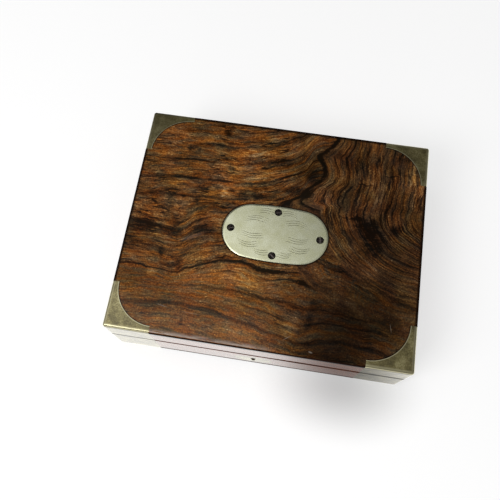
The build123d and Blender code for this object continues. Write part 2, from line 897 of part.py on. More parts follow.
with BuildPart() as tray_partitions:
    with Locations((0, -long_partition_y), (0, long_partition_y)):
        add(long_partition.part)
    with Locations((-cross_partition_x, 0), (cross_partition_x, 0)):
        add(cross_partition.part)
save(tray_partitions, "tray_partitions")

# Rest blocks stand in pairs, and an instrument's shank lies between the two blocks of a pair

with BuildPart() as rest_block:
    with BuildSketch(Plane.XY.offset(tray_floor)):
        Rectangle(rest_width, rest_length)
    extrude(amount=rest_height)
    fillet(rest_block.edges().group_by(Axis.Z)[-1], rest_rounding)

rest_offset = (rest_slot + rest_width) / 2
long_compartment_y = tray_room_half_depth - long_compartment_width / 2
end_compartment_x = tray_room_half_length - end_compartment_length / 2
with BuildPart() as tray_rest_blocks:
    for x in (-end_compartment_x, 0, end_compartment_x):
        for y in (-cross_rest_pitch / 2, cross_rest_pitch / 2):
            with Locations((x - rest_offset, y), (x + rest_offset, y)):
                add(rest_block.part)
    for x in (-long_rest_pitch / 2, long_rest_pitch / 2):
        for y in (-long_compartment_y, long_compartment_y):
            for offset_y in (-rest_offset, rest_offset):
                with Locations(Location((x, y + offset_y, 0), (0, 0, 90))):
                    add(rest_block.part)
save(tray_rest_blocks, "tray_rest_blocks")

# Lifting ribbons, glued inside the end walls and folded in over the tray

for across, name in ((-1, "left"), (1, "right")):
    with BuildPart() as tray_ribbon:
        wall_x = across * (tray_room_half_length - ribbon_thickness / 2)
        rim_z = tray_rim - ribbon_below_rim - ribbon_thickness / 2
        with BuildSketch(Plane.XZ.offset(-ribbon_width / 2)):
            with BuildLine() as ribbon_line:
                FilletPolyline(
                    (wall_x, rim_z - ribbon_drop),
                    (wall_x, rim_z),
                    (wall_x - across * ribbon_reach, rim_z),
                    radius=ribbon_fold_radius,
                )
            trace(ribbon_line.line, ribbon_thickness)
        extrude(amount=ribbon_width)
    save(tray_ribbon, f"tray_ribbon_{name}")

# Lid pad: a covered board with a crowned cushion under it

with BuildPart() as lid_pad_board:
    with BuildSketch(Plane.XY.offset(pad_board_bottom)):
        Rectangle(2 * pad_half_length, 2 * pad_half_depth)
    extrude(amount=pad_board_thickness)
save(lid_pad_board, "lid_pad_board")

pad_corner_reach = hypot(pad_half_length, pad_half_depth)
pad_crown_radius = (pad_corner_reach**2 + pad_crown**2) / (2 * pad_crown)
with BuildPart() as lid_pad:
    pad_bottom = pad_board_bottom - pad_thickness
    with BuildSketch(Plane.XY.offset(pad_bottom)):
        Rectangle(2 * pad_half_length, 2 * pad_half_depth)
    extrude(amount=pad_thickness)
    fillet(lid_pad.edges().filter_by(Axis.Z), pad_corner_radius)
    fillet(lid_pad.edges().group_by(Axis.Z)[0], pad_edge_radius)
    with Locations((0, 0, pad_bottom + pad_crown_radius)):
        Sphere(pad_crown_radius, mode=Mode.INTERSECT)
save(lid_pad, "lid_pad")
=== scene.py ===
import math
from functools import partial

import bmesh
import bpy
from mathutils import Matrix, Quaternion, Vector, noise


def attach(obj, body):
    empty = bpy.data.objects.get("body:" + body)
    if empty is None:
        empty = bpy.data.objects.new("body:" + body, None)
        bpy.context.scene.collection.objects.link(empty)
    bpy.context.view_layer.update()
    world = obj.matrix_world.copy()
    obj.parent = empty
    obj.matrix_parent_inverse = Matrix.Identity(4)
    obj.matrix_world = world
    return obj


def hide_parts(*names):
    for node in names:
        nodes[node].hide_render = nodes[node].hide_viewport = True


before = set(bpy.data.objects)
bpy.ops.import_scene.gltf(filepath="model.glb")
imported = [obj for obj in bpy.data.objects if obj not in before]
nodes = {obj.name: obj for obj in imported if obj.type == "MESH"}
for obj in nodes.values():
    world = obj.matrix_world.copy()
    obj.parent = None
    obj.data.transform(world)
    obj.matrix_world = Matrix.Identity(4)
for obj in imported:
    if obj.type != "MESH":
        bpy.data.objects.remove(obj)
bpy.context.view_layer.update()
scene = bpy.context.scene
mm = 0.001
print("case loaded:", len(nodes), "pieces")

# sizes of the case that patterns are drawn to, in millimetres
caseSizes = {
    "halfLength": 111.0, "halfDepth": 89.3, "height": 60.3, "seam": 33.4,
    "arcCentreX": 77.0, "arcCentreY": 55.3, "arcRadius": 29.0,  # the brackets' inner arcs
    # the plate's oval: end arcs about endX, and sides that swell a little between them
    "plateX": 1.1, "plateY": -1.15, "endX": 18.317, "endRadius": 21.583, "swell": 0.917, "plateTop": 60.6,
    "plateScrews": [(-32.7, -1.15), (34.9, -1.15), (1.1, -18.65), (1.1, 16.35)], "screwTop": 60.4,
}


def hexToLinear(text):
    parts = [int(text[i:i + 2], 16) / 255 for i in (1, 3, 5)]
    return [p / 12.92 if p <= 0.04045 else ((p + 0.055) / 1.055) ** 2.4 for p in parts] + [1.0]


# where a node's result isn't its first output
resultOutput = {
    "Mix VECTOR": 1, "Mix RGBA": 2, "VectorMath LENGTH": "Value", "VectorMath DOT_PRODUCT": "Value",
}


# one node with its settings, inputs and links. "Math ADD" is a node and its operation, "Mix RGBA" one and
# what it mixes. A ramp or curve is a list of its stops, and out=None gives all the outputs
def addNode(tree, kind, inputs=None, out=0, ramp=None, curve=None, **settings):
    out = resultOutput.get(kind, out)
    kind, _, choice = kind.partition(" ")
    node = tree.nodes.new(kind if "Node" in kind else "ShaderNode" + kind)
    if choice:
        settings["data_type" if kind == "Mix" else "operation"] = choice
    for name, value in settings.items():
        setattr(node, name, value)
    if ramp:
        stops = node.color_ramp.elements
        stops.remove(stops[1])
        stops[0].position = ramp[0][0]
        for place, _ in ramp[1:]:
            stops.new(place)
        for stop, (_, colour) in zip(stops, ramp):
            stop.color = hexToLinear(colour)
    if curve:
        line = node.mapping.curves[0]
        line.points[0].location = curve[0]
        line.points[-1].location = curve[-1]
        for place in curve[1:-1]:
            line.points.new(*place)
        node.mapping.update()
    pairs = inputs.items() if isinstance(inputs, dict) else enumerate(inputs or [])
    for key, value in pairs:
        if isinstance(value, bpy.types.NodeSocket):
            tree.links.new(value, node.inputs[key])
        elif isinstance(value, str):
            node.inputs[key].default_value = hexToLinear(value)
        elif value is not None:
            node.inputs[key].default_value = value
    return node.outputs if out is None else node.outputs[out]


# a material with its shader's constant values, addNode for its tree, and object coordinates in millimetres
def startMaterial(name, surface):
    material = bpy.data.materials.new(name)
    material.use_nodes = True
    shader = material.node_tree.nodes["Principled BSDF"]
    for socket, value in surface.items():
        shader.inputs[socket].default_value = hexToLinear(value) if isinstance(value, str) else value
    add = partial(addNode, material.node_tree)
    place = add("VectorMath SCALE", {0: add("TexCoord", out="Object"), "Scale": 1 / mm})
    return material, add, place


# links to the shader what a material works out from place to place
def finishMaterial(material, sockets):
    tree = material.node_tree
    for socket, value in sockets.items():
        tree.links.new(value, tree.nodes["Principled BSDF"].inputs[socket])
    return material


# how far a value is between two limits, from 0 to 1, eased at both ends
def between(add, value, low, high, top=1.0):
    return add("MapRange", [value, low, high, 0.0, top], interpolation_type="SMOOTHSTEP")


# how far a value lies from another, whichever way
def gapTo(add, value, middle):
    return add("Math ABSOLUTE", [add("Math SUBTRACT", [value, middle])])


# how far off a place is that lies x and y away
def armLength(add, x, y):
    return add("VectorMath LENGTH", [add("CombineXYZ", [x, y, 0.0])])


# 1 in the middle of a soft oval spot on the lid, 0 outside it
def spotMask(add, place, centre, radii, soft=0.8):
    away = add("VectorMath SUBTRACT", [place, (*centre, 0)])
    away = add("VectorMath MULTIPLY", [away, (1 / radii[0], 1 / radii[1], 0)])
    return between(add, add("VectorMath LENGTH", [away]), 1.0, 1 - soft)


# how far inside the plate's outline a place is, in millimetres; outside it is negative
def plateDepth(add, x, y):
    offX = gapTo(add, x, caseSizes["plateX"])
    offY = add("Math SUBTRACT", [y, caseSizes["plateY"]])
    past = add("Math MAXIMUM", [add("Math SUBTRACT", [offX, caseSizes["endX"]]), 0.0])
    along = add("Math POWER", [add("Math DIVIDE", [offX, caseSizes["endX"]]), 2.0])
    swollen = caseSizes["endRadius"] + caseSizes["swell"]
    halfWidth = add("MapRange", [along, 0.0, 1.0, swollen, caseSizes["endRadius"]])
    return add("Math SUBTRACT", [halfWidth, armLength(add, past, offY)])


# a drawn line of the figure: offset in millimetres against distance along it
def drawnLine(add, along, points, span=112.0, reach=40.0):
    share = add("MapRange", [along, -span, span, 0.0, 1.0])
    drawn = [((a + span) / (2 * span), (b + reach) / (2 * reach)) for a, b in points]
    drawn = [(0.0, drawn[0][1])] + drawn + [(1.0, drawn[-1][1])]
    height = add("FloatCurve", {1: share}, curve=drawn)
    return add("MapRange", [height, 0.0, 1.0, -reach, reach])


# camera, fitted to the case's corners
view = {
    "position": (0.012511, -0.157970, 0.469428), "lookAt": (-0.015485, -0.016640, 0.0603),
    "rollDegrees": -2.262, "lens": 42.08, "sensor": 36.0, "nearest": 0.01, "furthest": 20,
}
cameraData = bpy.data.cameras.new("photoCamera")
cameraData.lens, cameraData.sensor_width = view["lens"], view["sensor"]
cameraData.clip_start, cameraData.clip_end = view["nearest"], view["furthest"]
camera = bpy.data.objects.new("photoCamera", cameraData)
scene.collection.objects.link(camera)
aim = (Vector(view["lookAt"]) - Vector(view["position"])).to_track_quat("-Z", "Y")
camera.location = view["position"]
camera.rotation_mode = "QUATERNION"
camera.rotation_quaternion = aim @ Quaternion((0, 0, 1), math.radians(view["rollDegrees"]))
scene.camera = camera
scene.view_settings.view_transform = "Standard"

# light: a window-like lamp at the front left, a low one in front, a pale ceiling patch at the left, a dim room
light = {
    # place, width and height, watts, and whether it shows in the polish
    "lamps": [((-0.62, -0.66, 0.95), (0.6, 0.6), 7.0, True), ((0.05, -1.55, 0.13), (0.9, 0.2), 7.0, False)],
    # the room from the table's level up: the walls, their paler top, the ceiling and what is right overhead
    "room": [(0.0, "#333333"), (0.22, "#333333"), (0.5, "#989898"), (0.8, "#6c6c6c"), (1.0, "#666666")],
    "domeStrength": 0.8,
    # pale places overhead and in front, and a dark one behind: direction, boost, where they start and are full
    "patches": [((-0.31, 0.03, 0.95), 9.3, 0.85, 1.0), ((0.42, -0.10, 0.90), 1.8, 0.85, 1.0),
                ((-0.30, 0.62, 0.72), -0.8, 0.92, 0.975), ((-0.17, -0.57, 0.80), 4.5, 0.95, 0.99),
                ((-0.03, 0.37, 0.93), 0.4, 0.95, 1.0)],
    "tableHalfWidth": 1.2, "tableDrop": 0.0002, "floorLift": 0.60, "floorColour": "#c8c8c8",
    # a soft shadow painted on the floor in front at the right: its place, reach and depth
    "shadowPlace": (0.068, -0.098), "shadowReach": (0.075, 0.048), "shadowDepth": 0.44,  # a soft grey shade
    # the paper as the polish mirrors it, its painted shadow deepened there
    "mirroredGain": 1.58, "mirroredDepth": 3.15, "mirroredTint": "#fffffd",
}
for lampPlace, (wide, high), watts, showsInPolish in light["lamps"]:
    lampData = bpy.data.lights.new("softLamp", "AREA")
    lampData.shape, lampData.size, lampData.size_y, lampData.energy = "RECTANGLE", wide, high, watts
    lamp = bpy.data.objects.new("softLamp", lampData)
    scene.collection.objects.link(lamp)
    lamp.location = lampPlace
    lamp.rotation_mode = "QUATERNION"
    lamp.rotation_quaternion = (-Vector(lampPlace)).to_track_quat("-Z", "Y")
    lamp.visible_glossy = showsInPolish

world = bpy.data.worlds.new("paleStudio")
world.use_nodes = True
scene.world = world
tree = world.node_tree
add = partial(addNode, tree)
direction = add("TexCoord", out="Generated")
sky = add("ValToRGB", [add("VectorMath DOT_PRODUCT", [direction, (0, 0, 1)])], ramp=light["room"])
lit = light["domeStrength"]
for towards, boost, starts, full in light["patches"]:
    toPatch = add("VectorMath DOT_PRODUCT", [direction, towards])
    lit = add("Math ADD", [between(add, toPatch, starts, full, boost), lit])
seen = add("LightPath", out="Is Camera Ray")
dome = tree.nodes["Background"]
tree.links.new(add("Mix RGBA", {0: seen, 6: sky, 7: "#ffffff"}), dome.inputs["Color"])
tree.links.new(add("Mix", [seen, None, lit, 1.0]), dome.inputs["Strength"])

# the floor keeps the case's shadow, and a soft shadow painted in front at the right, under a lift that the
# camera and reflections see
span = light["tableHalfWidth"]
floorMesh = bpy.data.meshes.new("paleFloor")
floorCorners = [(x * span, y * span, -light["tableDrop"]) for x, y in ((-1, -1), (1, -1), (1, 1), (-1, 1))]
floorMesh.from_pydata(floorCorners, [], [(0, 1, 2, 3)])
floor = bpy.data.objects.new("paleFloor", floorMesh)
scene.collection.objects.link(floor)
paper = bpy.data.materials.new("matteWhitePaper")
paper.use_nodes = True
tree = paper.node_tree
tree.nodes.remove(tree.nodes["Principled BSDF"])
add = partial(addNode, tree)
# painted shadow: a soft grey spot on the floor in front at the right
paintedShadow = spotMask(add, add("TexCoord", out="Object"), light["shadowPlace"], light["shadowReach"], 1.0)
kept = add("Math MULTIPLY_ADD", [paintedShadow, -light["shadowDepth"], 1.0])
rays = add("LightPath", out=None)
toCamera, mirrored, through = rays["Is Camera Ray"], rays["Is Glossy Ray"], rays["Is Transmission Ray"]
deepened = add("Math MULTIPLY", [add("Math POWER", [kept, light["mirroredDepth"]]), light["mirroredGain"]])
kept = add("Mix", [mirrored, None, kept, deepened])
matte = add("BsdfDiffuse", [add("Mix RGBA", {0: kept, 6: "#000000", 7: light["floorColour"]})])
lifted = add("Math MAXIMUM", [add("Math MAXIMUM", [toCamera, mirrored]), through])
lifted = add("Math MULTIPLY", [add("Math MULTIPLY", [lifted, light["floorLift"]]), kept])
glow = add("Emission", [add("Mix RGBA", {0: mirrored, 6: "#ffffff", 7: light["mirroredTint"]}), lifted])
tree.links.new(add("AddShader", [matte, glow]), tree.nodes["Material Output"].inputs["Surface"])
floorMesh.materials.append(paper)
print("camera, light and floor are set")

# French-polished rosewood top: a crotch figure, streaked at the left and wavy-ringed at the right
top = {
    "tones": [(0.0, "#1d150d"), (0.2, "#342316"), (0.45, "#573a22"), (0.65, "#7d5530"), (0.85, "#a57745"),
              (1.0, "#c8a068")],
    "leftTone": 0.57, "rightTone": 0.52, "contrast": 1.1,
    "surface": {"Coat Roughness": 0.15, "Coat IOR": 1.5, "IOR": 1.5, "Specular IOR Level": 0.0},
    "coatWeight": 0.07, "roughness": (0.5, 0.62),
    # dark polish gathered in corners and darker bands at the edges, a painted highlight on the front arris,
    # and scratches
    "gathered": "#120a06", "arrisHighlight": "#b3a296", "scratched": "#a89a8c",
    # slow bends and small wobbles in the grain, and how far each reaches
    "warps": [({"Scale": 1 / 34, "Detail": 1.0, "Roughness": 0.5}, 8.0),
              ({"Scale": 1 / 6.5, "Detail": 2.5, "Roughness": 0.6}, 2.8)],
    # fibres: length, width, detail, roughness and seed, then their share of the tone
    "finest": (5.0, 0.5, 3.0, 0.65),
    "streakFibres": [(17.0, 1.5, 3.0, 0.65, 5.0, 0.85), (45.0, 9.0, 2.0, 0.5, 9.0, 0.7)],
    "ringFibres": [(5.0, 0.6, 3.0, 0.65, 3.0, 0.9), (26.0, 1.7, 2.0, 0.6, 11.0, 0.5)],
    "rings": (50.0, 2.7, 1.5, 0.5), "markFibres": (9.0, 0.9, 2.0, 0.6, 31.0),
    "hueFibres": (15.0, 4.0, 3.0, 0.6, 51.0), "highlightBreaks": (9.0, 2.0, 3.0, 0.6, 41.0),
    # dark strands between fibres: the fibres, then where the line starts and is full
    "longStrands": ((38.0, 4.0, 2.5, 0.6, 13.0), (0.04, 0.006)),
    "shortStrands": ((14.0, 2.0, 2.0, 0.55, 21.0), (0.05, 0.0)),
    "longDarkness": ((22.0, 6.0, 1.0, 0.5, 17.0), (0.4, 0.62, -0.4)), "shortDarkness": -0.18,
    "calm": (-22.0, -46.0, -0.5),  # the wood is calmer towards the front
    # lines of the figure, read off: (distance along, offset) in millimetres
    "upperGrain": [(-110, -3), (-80, -1), (-50, 0), (-20, 3), (0, 9), (15, 18), (30, 34)],
    "middleGrain": [(-110, -12), (-85, -14), (-70, -14), (-60, -8), (-45, -2), (-25, 1), (0, -1), (20, -1),
                    (40, -5), (60, -10), (80, -16), (100, -27), (110, -33)],
    "lowerGrain": [(-110, 4), (-60, 7), (-30, 4), (0, -1), (20, -5), (30, -7), (45, -4), (60, -3), (100, -7)],
    "lowerEnds": (-64.0, -38.0), "upperStarts": (-12.0, 26.0),
    # dark streaks that follow the grain: place across it, half width, from x, to x, darkness
    "streaks": [(-28.5, 1.5, -112, 25, 0.42), (-73.0, 2.4, -110, 100, 0.24), (-14.0, 4.5, 38, 112, 0.3),
                (-35.0, 2.0, 20, 105, 0.3), (35.5, 2.0, -110, 12, 0.3), (21.0, 1.6, -110, -20, 0.22),
                (6.0, 1.8, -112, -50, 0.35), (-50.0, 1.6, -60, 100, 0.2), (52.0, 1.8, -90, 5, 0.2),
                (66.0, 1.6, -70, 20, 0.22), (-60.0, 1.2, -20, 90, 0.2)],
    "streakFade": 8, "streakBreaks": (0.2, 0.55), "coreShare": 0.2,
    # rings bow round a point off the lid's right edge, and waver most near the crotch
    "ringCentreX": 130.0, "ringBendsBelow": 30.0, "ringStretch": 1.45,
    "ringWave": [(15, -34), (25, -29), (29, -22), (34, -14), (40, -10), (45, -4), (50, 0), (57, 0), (62, -2),
                 (68, -5), (73, -2), (80, 4), (88, 8)],
    "waveShare": (34.0, 62.0, 1.0, 0.15), "wobbleShare": 0.4,
    "waver": {"Scale": 0.24, "Detail": 2.0, "Roughness": 0.6}, "waverReach": 3.0, "waverTogether": 0.07,
    "waverLayer": 3.3, "ringLayer": 7.7,  # heights in the noise, so that neither repeats another pattern
    "ringLine": (0.06, 0.01), "ringDarkness": (-40.0, 15.0, -0.12, -0.32), "ringsStart": (29.0, 34.0),
    "patches": {"Scale": 1 / 20, "Detail": 2.0}, "patchShare": 0.9,
    # the crotch's two heavy lines, above the middle
    "heavyLines": [(32.0, 3.0, -0.55), (50.0, 1.4, -0.3)], "heavyAbove": (14.0, 30.0),
    # (centre, half sizes, change of tone): dark patches, pale glows, knots and short cross lines
    "marks": [((68, 14), (15, 13), -0.7), ((74, 3), (12, 19), -0.65), ((60, 20), (5, 3), -0.45),
              ((89, 15), (6, 6), -0.4), ((24, 51), (9, 12), -0.5), ((22, 68), (14, 6), -0.2),
              ((14, 35), (17, 6), -0.5), ((-12, 28), (20, 4.5), -0.5), ((22, -68), (9, 10), 0.28),
              ((34, -64), (5, 9), -0.35), ((-72, -37), (12, 3), -0.45), ((-81, -29), (3.5, 7), -0.45),
              ((-66, -33), (5, 5), -0.45), ((-100, -8), (16, 8), -0.5), ((-76, -10), (17, 5), -0.5),
              ((-54, -5), (14, 6), -0.5), ((-60, 27), (8, 4), -0.4), ((-29, 25), (9, 6), -0.4),
              ((-48, 78), (5, 4), -0.6), ((-42, 40), (7, 3), 0.35), ((-43, 27), (6, 5), 0.35),
              ((-20, 66), (34, 12), 0.12), ((-2, 60), (14, 7), -0.3), ((100, 62), (8, 20), 0.3),
              ((-10, -40), (28, 6), 0.2), ((36, -52), (7, 8), -0.25), ((0, -30), (16, 2.4), -0.5),
              ((25, -36), (5, 4), -0.4), ((63, 49), (9, 1.2), -0.45), ((83, 59), (9, 1.2), -0.4),
              ((54, 20), (10, 1.5), -0.4), ((-56, -79), (3, 2.4), -0.5), ((-86, -45), (5, 6), 0.3),
              ((-12, -78), (30, 3), 0.14)],
    "ragged": {"Scale": 1 / 3.2, "Detail": 2.0}, "raggedReach": 4.5,
    "markSoftness": 0.85, "markBreaks": (0.35, 0.6, 0.4, 1.0),
    # flecks about a millimetre across, a few of them pale
    "flecks": {"Scale": 0.9, "Detail": 3.0, "Roughness": 0.7}, "fleckShare": 0.85,
    "sparks": {"Scale": 0.75, "Detail": 1.0}, "sparkStarts": (0.68, 0.78), "sparkShare": 0.3,
    # redder and greyer fibres, and slow changes from golden to red wood
    "hues": [(0.38, "#96bee0"), (0.5, "#bebdb2"), (0.62, "#d8b478")], "hueShare": (0.75, 0.5),
    "golds": [(0.38, "#bebea8"), (0.62, "#c8b4b2")], "goldPatches": {"Scale": 1 / 21, "Detail": 2.0},
    "goldShare": 0.6,
    # slow light and dark places of the board, partly the wood's tone and partly painted light and shade, as
    # light falls from the left: middle, half sizes, gain
    "toneAndLightPatches": [((-37, -42), (50, 26), 0.68), ((-35, 42), (40, 28), 0.45), ((101, 58), (26, 34), 0.7),
              ((34, 30), (16, 12), 0.8), ((-80, 66), (40, 24), 0.15), ((-25, -74), (60, 20), 0.2),
              ((54, -78), (56, 32), -0.55), ((-99, -16), (22, 18), -0.4), ((18, 56), (30, 22), -0.5),
              ((66, -54), (72, 44), -0.78), ((-36, 31), (18, 10), 0.4), ((-98, -48), (22, 18), -0.3),
              ((94, 6), (16, 20), -0.35), ((52, -89), (44, 15), -0.75)],
    # the right darker, partly wood and partly painted shade, and a gain over all
    "shadeRight": (0.0, 62.0, -0.42), "overallGain": 1.08,
    # a painted bluish veil of reflection over the darker wood: its tint, and how it grows to the right and
    # towards the front
    "paintedVeil": (0.98, 1.1, 1.38), "veilRight": (-20.0, 56.0), "veilFront": (70.0, -50.0, 0.45, 1.0),
    # dark polish gathered at the arcs and the plate, and the board darker along the sides and the back: how
    # near it starts and is full
    "atArcs": (1.3, 0.1), "atPlate": (-1.5, -0.2, 0.85), "atSides": (2.9, 1.7), "atBack": (3.6, 2.4),
    "arcsDark": (0.0, 0.6, 0.85), "edgesDark": 0.88, "backHalf": (0.0, 20.0),
    # the board's edges below the arris are straight-grained, red-brown and worn dull, and darkened nearly to
    # black, partly a painted dark reflection
    "edgeRamp": [(0.3, "#120906"), (0.7, "#27130d")], "edgeGrain": (30, 30, 0.8), "edgeStarts": (59.95, 59.5),
    "edgeNoise": {"Scale": 1.0, "Detail": 3.0}, "edgePolish": (0.02, 1.0),
    "frontStarts": (-84.0, -86.5), "frontDrop": 0.34, "polishedBelow": (57.4, 56.4),
    # a painted highlight along the front arris at the left, and the arris glossy as far as the middle
    "highlightY": (-85.0, -87.9), "highlightX": (16.0, -8.0), "highlightZ": (59.85, 60.1), "highlightFibres": (0.25, 0.6, 0.8),
    "glossyX": (20.0, -5.0), "glossyZ": (60.28, 60.16),
    "dullerX": (25.0, -10.0), "dullerY": (-52.0, -82.0, 0.3),
    # scratches and scuffs in the polish: from, to, half width, paleness
    "scratches": [((17, -80), (24, -75), 0.35, 0.45), ((91, -55), (93, -64), 0.25, 0.4),
                  ((-77, -67), (-66, -69), 0.5, 0.4), ((36, -84.5), (40, -85.5), 0.8, 0.5),
                  ((-72, -19), (-49, -7), 2.2, 0.16), ((-60, -70), (-40, -71), 0.5, 0.2)],
    # open pores, and the slow ripple of a hand-rubbed coat
    "poreShare": 0.4, "poreRelief": {"Strength": 0.25, "Distance": 0.06 * mm},
    "ripple": {"Scale": 1 / 9, "Detail": 2.0}, "rippleRelief": {"Strength": 0.2, "Distance": 0.1 * mm},
}


# noise drawn out into fibres, as long and as wide as given
def fibres(add, place, length, width, detail=2.0, rough=0.6, seed=0.0):
    place = add("VectorMath MULTIPLY_ADD", [place, (1 / length, 1 / width, 1.0), (seed, seed, seed)])
    return add("TexNoise", {"Vector": place, "Scale": 1.0, "Detail": detail, "Roughness": rough})


# thin lines where a noise passes its middle value
def crossings(add, value, wide, narrow):
    return between(add, gapTo(add, value, 0.5), wide, narrow)


# tone plus some share of (value - 0.5)
def mixedIn(add, tone, value, share):
    return add("Math MULTIPLY_ADD", [add("Math SUBTRACT", [value, 0.5]), share, tone])


# 1 on a straight line between two points, 0 beside it
def lineMask(add, place, start, end, halfWidth):
    middle = ((start[0] + end[0]) / 2, (start[1] + end[1]) / 2)
    reach = math.hypot(end[0] - start[0], end[1] - start[1]) / 2
    turn = math.atan2(end[1] - start[1], end[0] - start[0])
    turned = add("VectorMath SUBTRACT", [place, (*middle, 0)])
    turned = add("VectorRotate", {"Vector": turned, "Angle": -turn}, rotation_type="Z_AXIS")
    return spotMask(add, turned, (0, 0), (reach, halfWidth))


# tone of the streaked wood at the left and in front, which follows three drawn lines, one above another
def streakedTone(add, x, y, plainY):
    upper, middle, lower = (drawnLine(add, x, top[n]) for n in ("upperGrain", "middleGrain", "lowerGrain"))
    grain = add("Mix", [between(add, y, *top["lowerEnds"]), None, lower, middle])
    grain = add("Mix", [between(add, y, *top["upperStarts"]), None, grain, upper])
    across = add("Math SUBTRACT", [y, grain])
    streakPlace = add("CombineXYZ", [x, across, 0.0])
    finest = fibres(add, streakPlace, *top["finest"])
    tone = mixedIn(add, top["leftTone"], finest, 1.0)
    for *shape, share in top["streakFibres"]:
        tone = mixedIn(add, tone, fibres(add, streakPlace, *shape), share)
    shape, limits = top["longDarkness"]
    longDarkness = between(add, fibres(add, streakPlace, *shape), *limits)
    strands = [(*top["longStrands"], longDarkness), (*top["shortStrands"], top["shortDarkness"])]
    for shape, line, darkness in strands:
        strand = crossings(add, fibres(add, streakPlace, *shape), *line)
        tone = add("Math MULTIPLY_ADD", [strand, darkness, tone])
    calm = add("Math ADD", [between(add, plainY, *top["calm"]), 1.0])
    tone = add("Math SUBTRACT", [tone, top["leftTone"]])
    tone = add("Math MULTIPLY_ADD", [tone, calm, top["leftTone"]])
    fade = top["streakFade"]
    for middleLine, halfWidth, fromX, toX, darkness in top["streaks"]:
        streak = between(add, gapTo(add, across, middleLine), halfWidth, halfWidth * top["coreShare"])
        begun = between(add, x, fromX - fade, fromX + fade, darkness)
        begun = add("Math MULTIPLY", [begun, between(add, x, toX + fade, toX - fade)])
        begun = add("Math MULTIPLY", [begun, between(add, finest, *top["streakBreaks"])])
        tone = add("Math SUBTRACT", [tone, add("Math MULTIPLY", [streak, begun])])
    return tone, streakPlace, finest


# tone of the ringed wood at the right
def ringedTone(add, place, x, y, plainX, plainY):
    down = add("Math MINIMUM", [add("Math SUBTRACT", [y, top["ringBendsBelow"]]), 0.0])
    down = add("Math MULTIPLY", [down, top["ringStretch"]])
    side = add("Math SUBTRACT", [top["ringCentreX"], plainX])
    straightRing = add("Math SUBTRACT", [top["ringCentreX"], armLength(add, side, down)])
    wave = drawnLine(add, plainY, top["ringWave"])
    # how much a ring is shifted depends on where the shift has taken it, so this is done twice
    ring = straightRing
    for _ in range(2):
        share = add("MapRange", [ring, *top["waveShare"]])
        ring = add("Math SUBTRACT", [straightRing, add("Math MULTIPLY", [wave, share])])
    ring = add("Math MULTIPLY_ADD", [add("Math SUBTRACT", [x, plainX]), top["wobbleShare"], ring])
    # neighbouring rings waver together
    waver = add("CombineXYZ", [add("Math MULTIPLY", [ring, top["waverTogether"]]), y, top["waverLayer"]])
    waver = add("TexNoise", {"Vector": waver, **top["waver"]})
    ring = mixedIn(add, ring, waver, top["waverReach"])
    ringPlace = add("CombineXYZ", [y, ring, top["ringLayer"]])
    tone = top["rightTone"]
    for *shape, share in top["ringFibres"]:
        tone = mixedIn(add, tone, fibres(add, ringPlace, *shape), share)
    patch = add("TexNoise", {"Vector": place, **top["patches"]})
    tone = mixedIn(add, tone, patch, top["patchShare"])
    ringLine = crossings(add, fibres(add, ringPlace, *top["rings"]), *top["ringLine"])
    tone = add("Math MULTIPLY_ADD", [ringLine, add("MapRange", [plainY, *top["ringDarkness"]]), tone])
    return tone, ringPlace, ring


# the crotch's heavy lines, this board's own marks, and flecks
def markedTone(add, tone, place, bent, streakPlace, ring, plainY):
    for heavyRing, halfWidth, darkness in top["heavyLines"]:
        heavy = between(add, gapTo(add, ring, heavyRing), halfWidth, halfWidth * top["coreShare"])
        heavy = add("Math MULTIPLY", [heavy, between(add, plainY, *top["heavyAbove"], darkness)])
        tone = add("Math ADD", [heavy, tone])
    reach = top["raggedReach"]
    ragged = add("TexNoise", {"Vector": place, **top["ragged"]}, out="Color")
    ragged = add("VectorMath MULTIPLY_ADD", [ragged, (reach, reach, 0), bent])
    ragged = add("VectorMath SUBTRACT", [ragged, (reach / 2, reach / 2, 0)])
    # the marks are made of fibres too
    striped = add("MapRange", [fibres(add, streakPlace, *top["markFibres"]), *top["markBreaks"]])
    for centre, radii, change in top["marks"]:
        mark = add("Math MULTIPLY", [spotMask(add, ragged, centre, radii, top["markSoftness"]), striped])
        tone = add("Math MULTIPLY_ADD", [mark, change, tone])
    tone = mixedIn(add, tone, add("TexNoise", {"Vector": place, **top["flecks"]}), top["fleckShare"])
    spark = between(add, add("TexNoise", {"Vector": place, **top["sparks"]}), *top["sparkStarts"])
    tone = add("Math MULTIPLY_ADD", [spark, top["sparkShare"], tone])
    return add("Math MULTIPLY_ADD", [add("Math SUBTRACT", [tone, 0.5]), top["contrast"], 0.5])


# where dark polish has gathered against brackets and plate, and where the board is darker along the sides and
# the back
def darkPolishAndBands(add, plainX, plainY):
    cornerX = add("Math SUBTRACT", [add("Math ABSOLUTE", [plainX]), caseSizes["arcCentreX"]])
    cornerY = add("Math SUBTRACT", [add("Math ABSOLUTE", [plainY]), caseSizes["arcCentreY"]])
    beyond = between(add, add("Math MINIMUM", [cornerX, cornerY]), *top["arcsDark"])
    starts, full = top["atArcs"]
    corner = armLength(add, cornerX, cornerY)
    gathered = between(add, corner, caseSizes["arcRadius"] - starts, caseSizes["arcRadius"] - full)
    gathered = add("Math MULTIPLY", [gathered, beyond])
    darkRing = between(add, plateDepth(add, plainX, plainY), *top["atPlate"])
    gathered = add("Math MAXIMUM", [gathered, darkRing])
    side = caseSizes["halfLength"] - caseSizes["arcCentreX"]
    sides = between(add, cornerX, side - top["atSides"][0], side - top["atSides"][1], top["edgesDark"])
    rear = caseSizes["halfDepth"] - caseSizes["arcCentreY"]
    rear = between(add, cornerY, rear - top["atBack"][0], rear - top["atBack"][1], top["edgesDark"])
    rear = add("Math MULTIPLY", [rear, between(add, plainY, *top["backHalf"])])
    return add("Math MAXIMUM", [gathered, add("Math MAXIMUM", [rear, sides])])


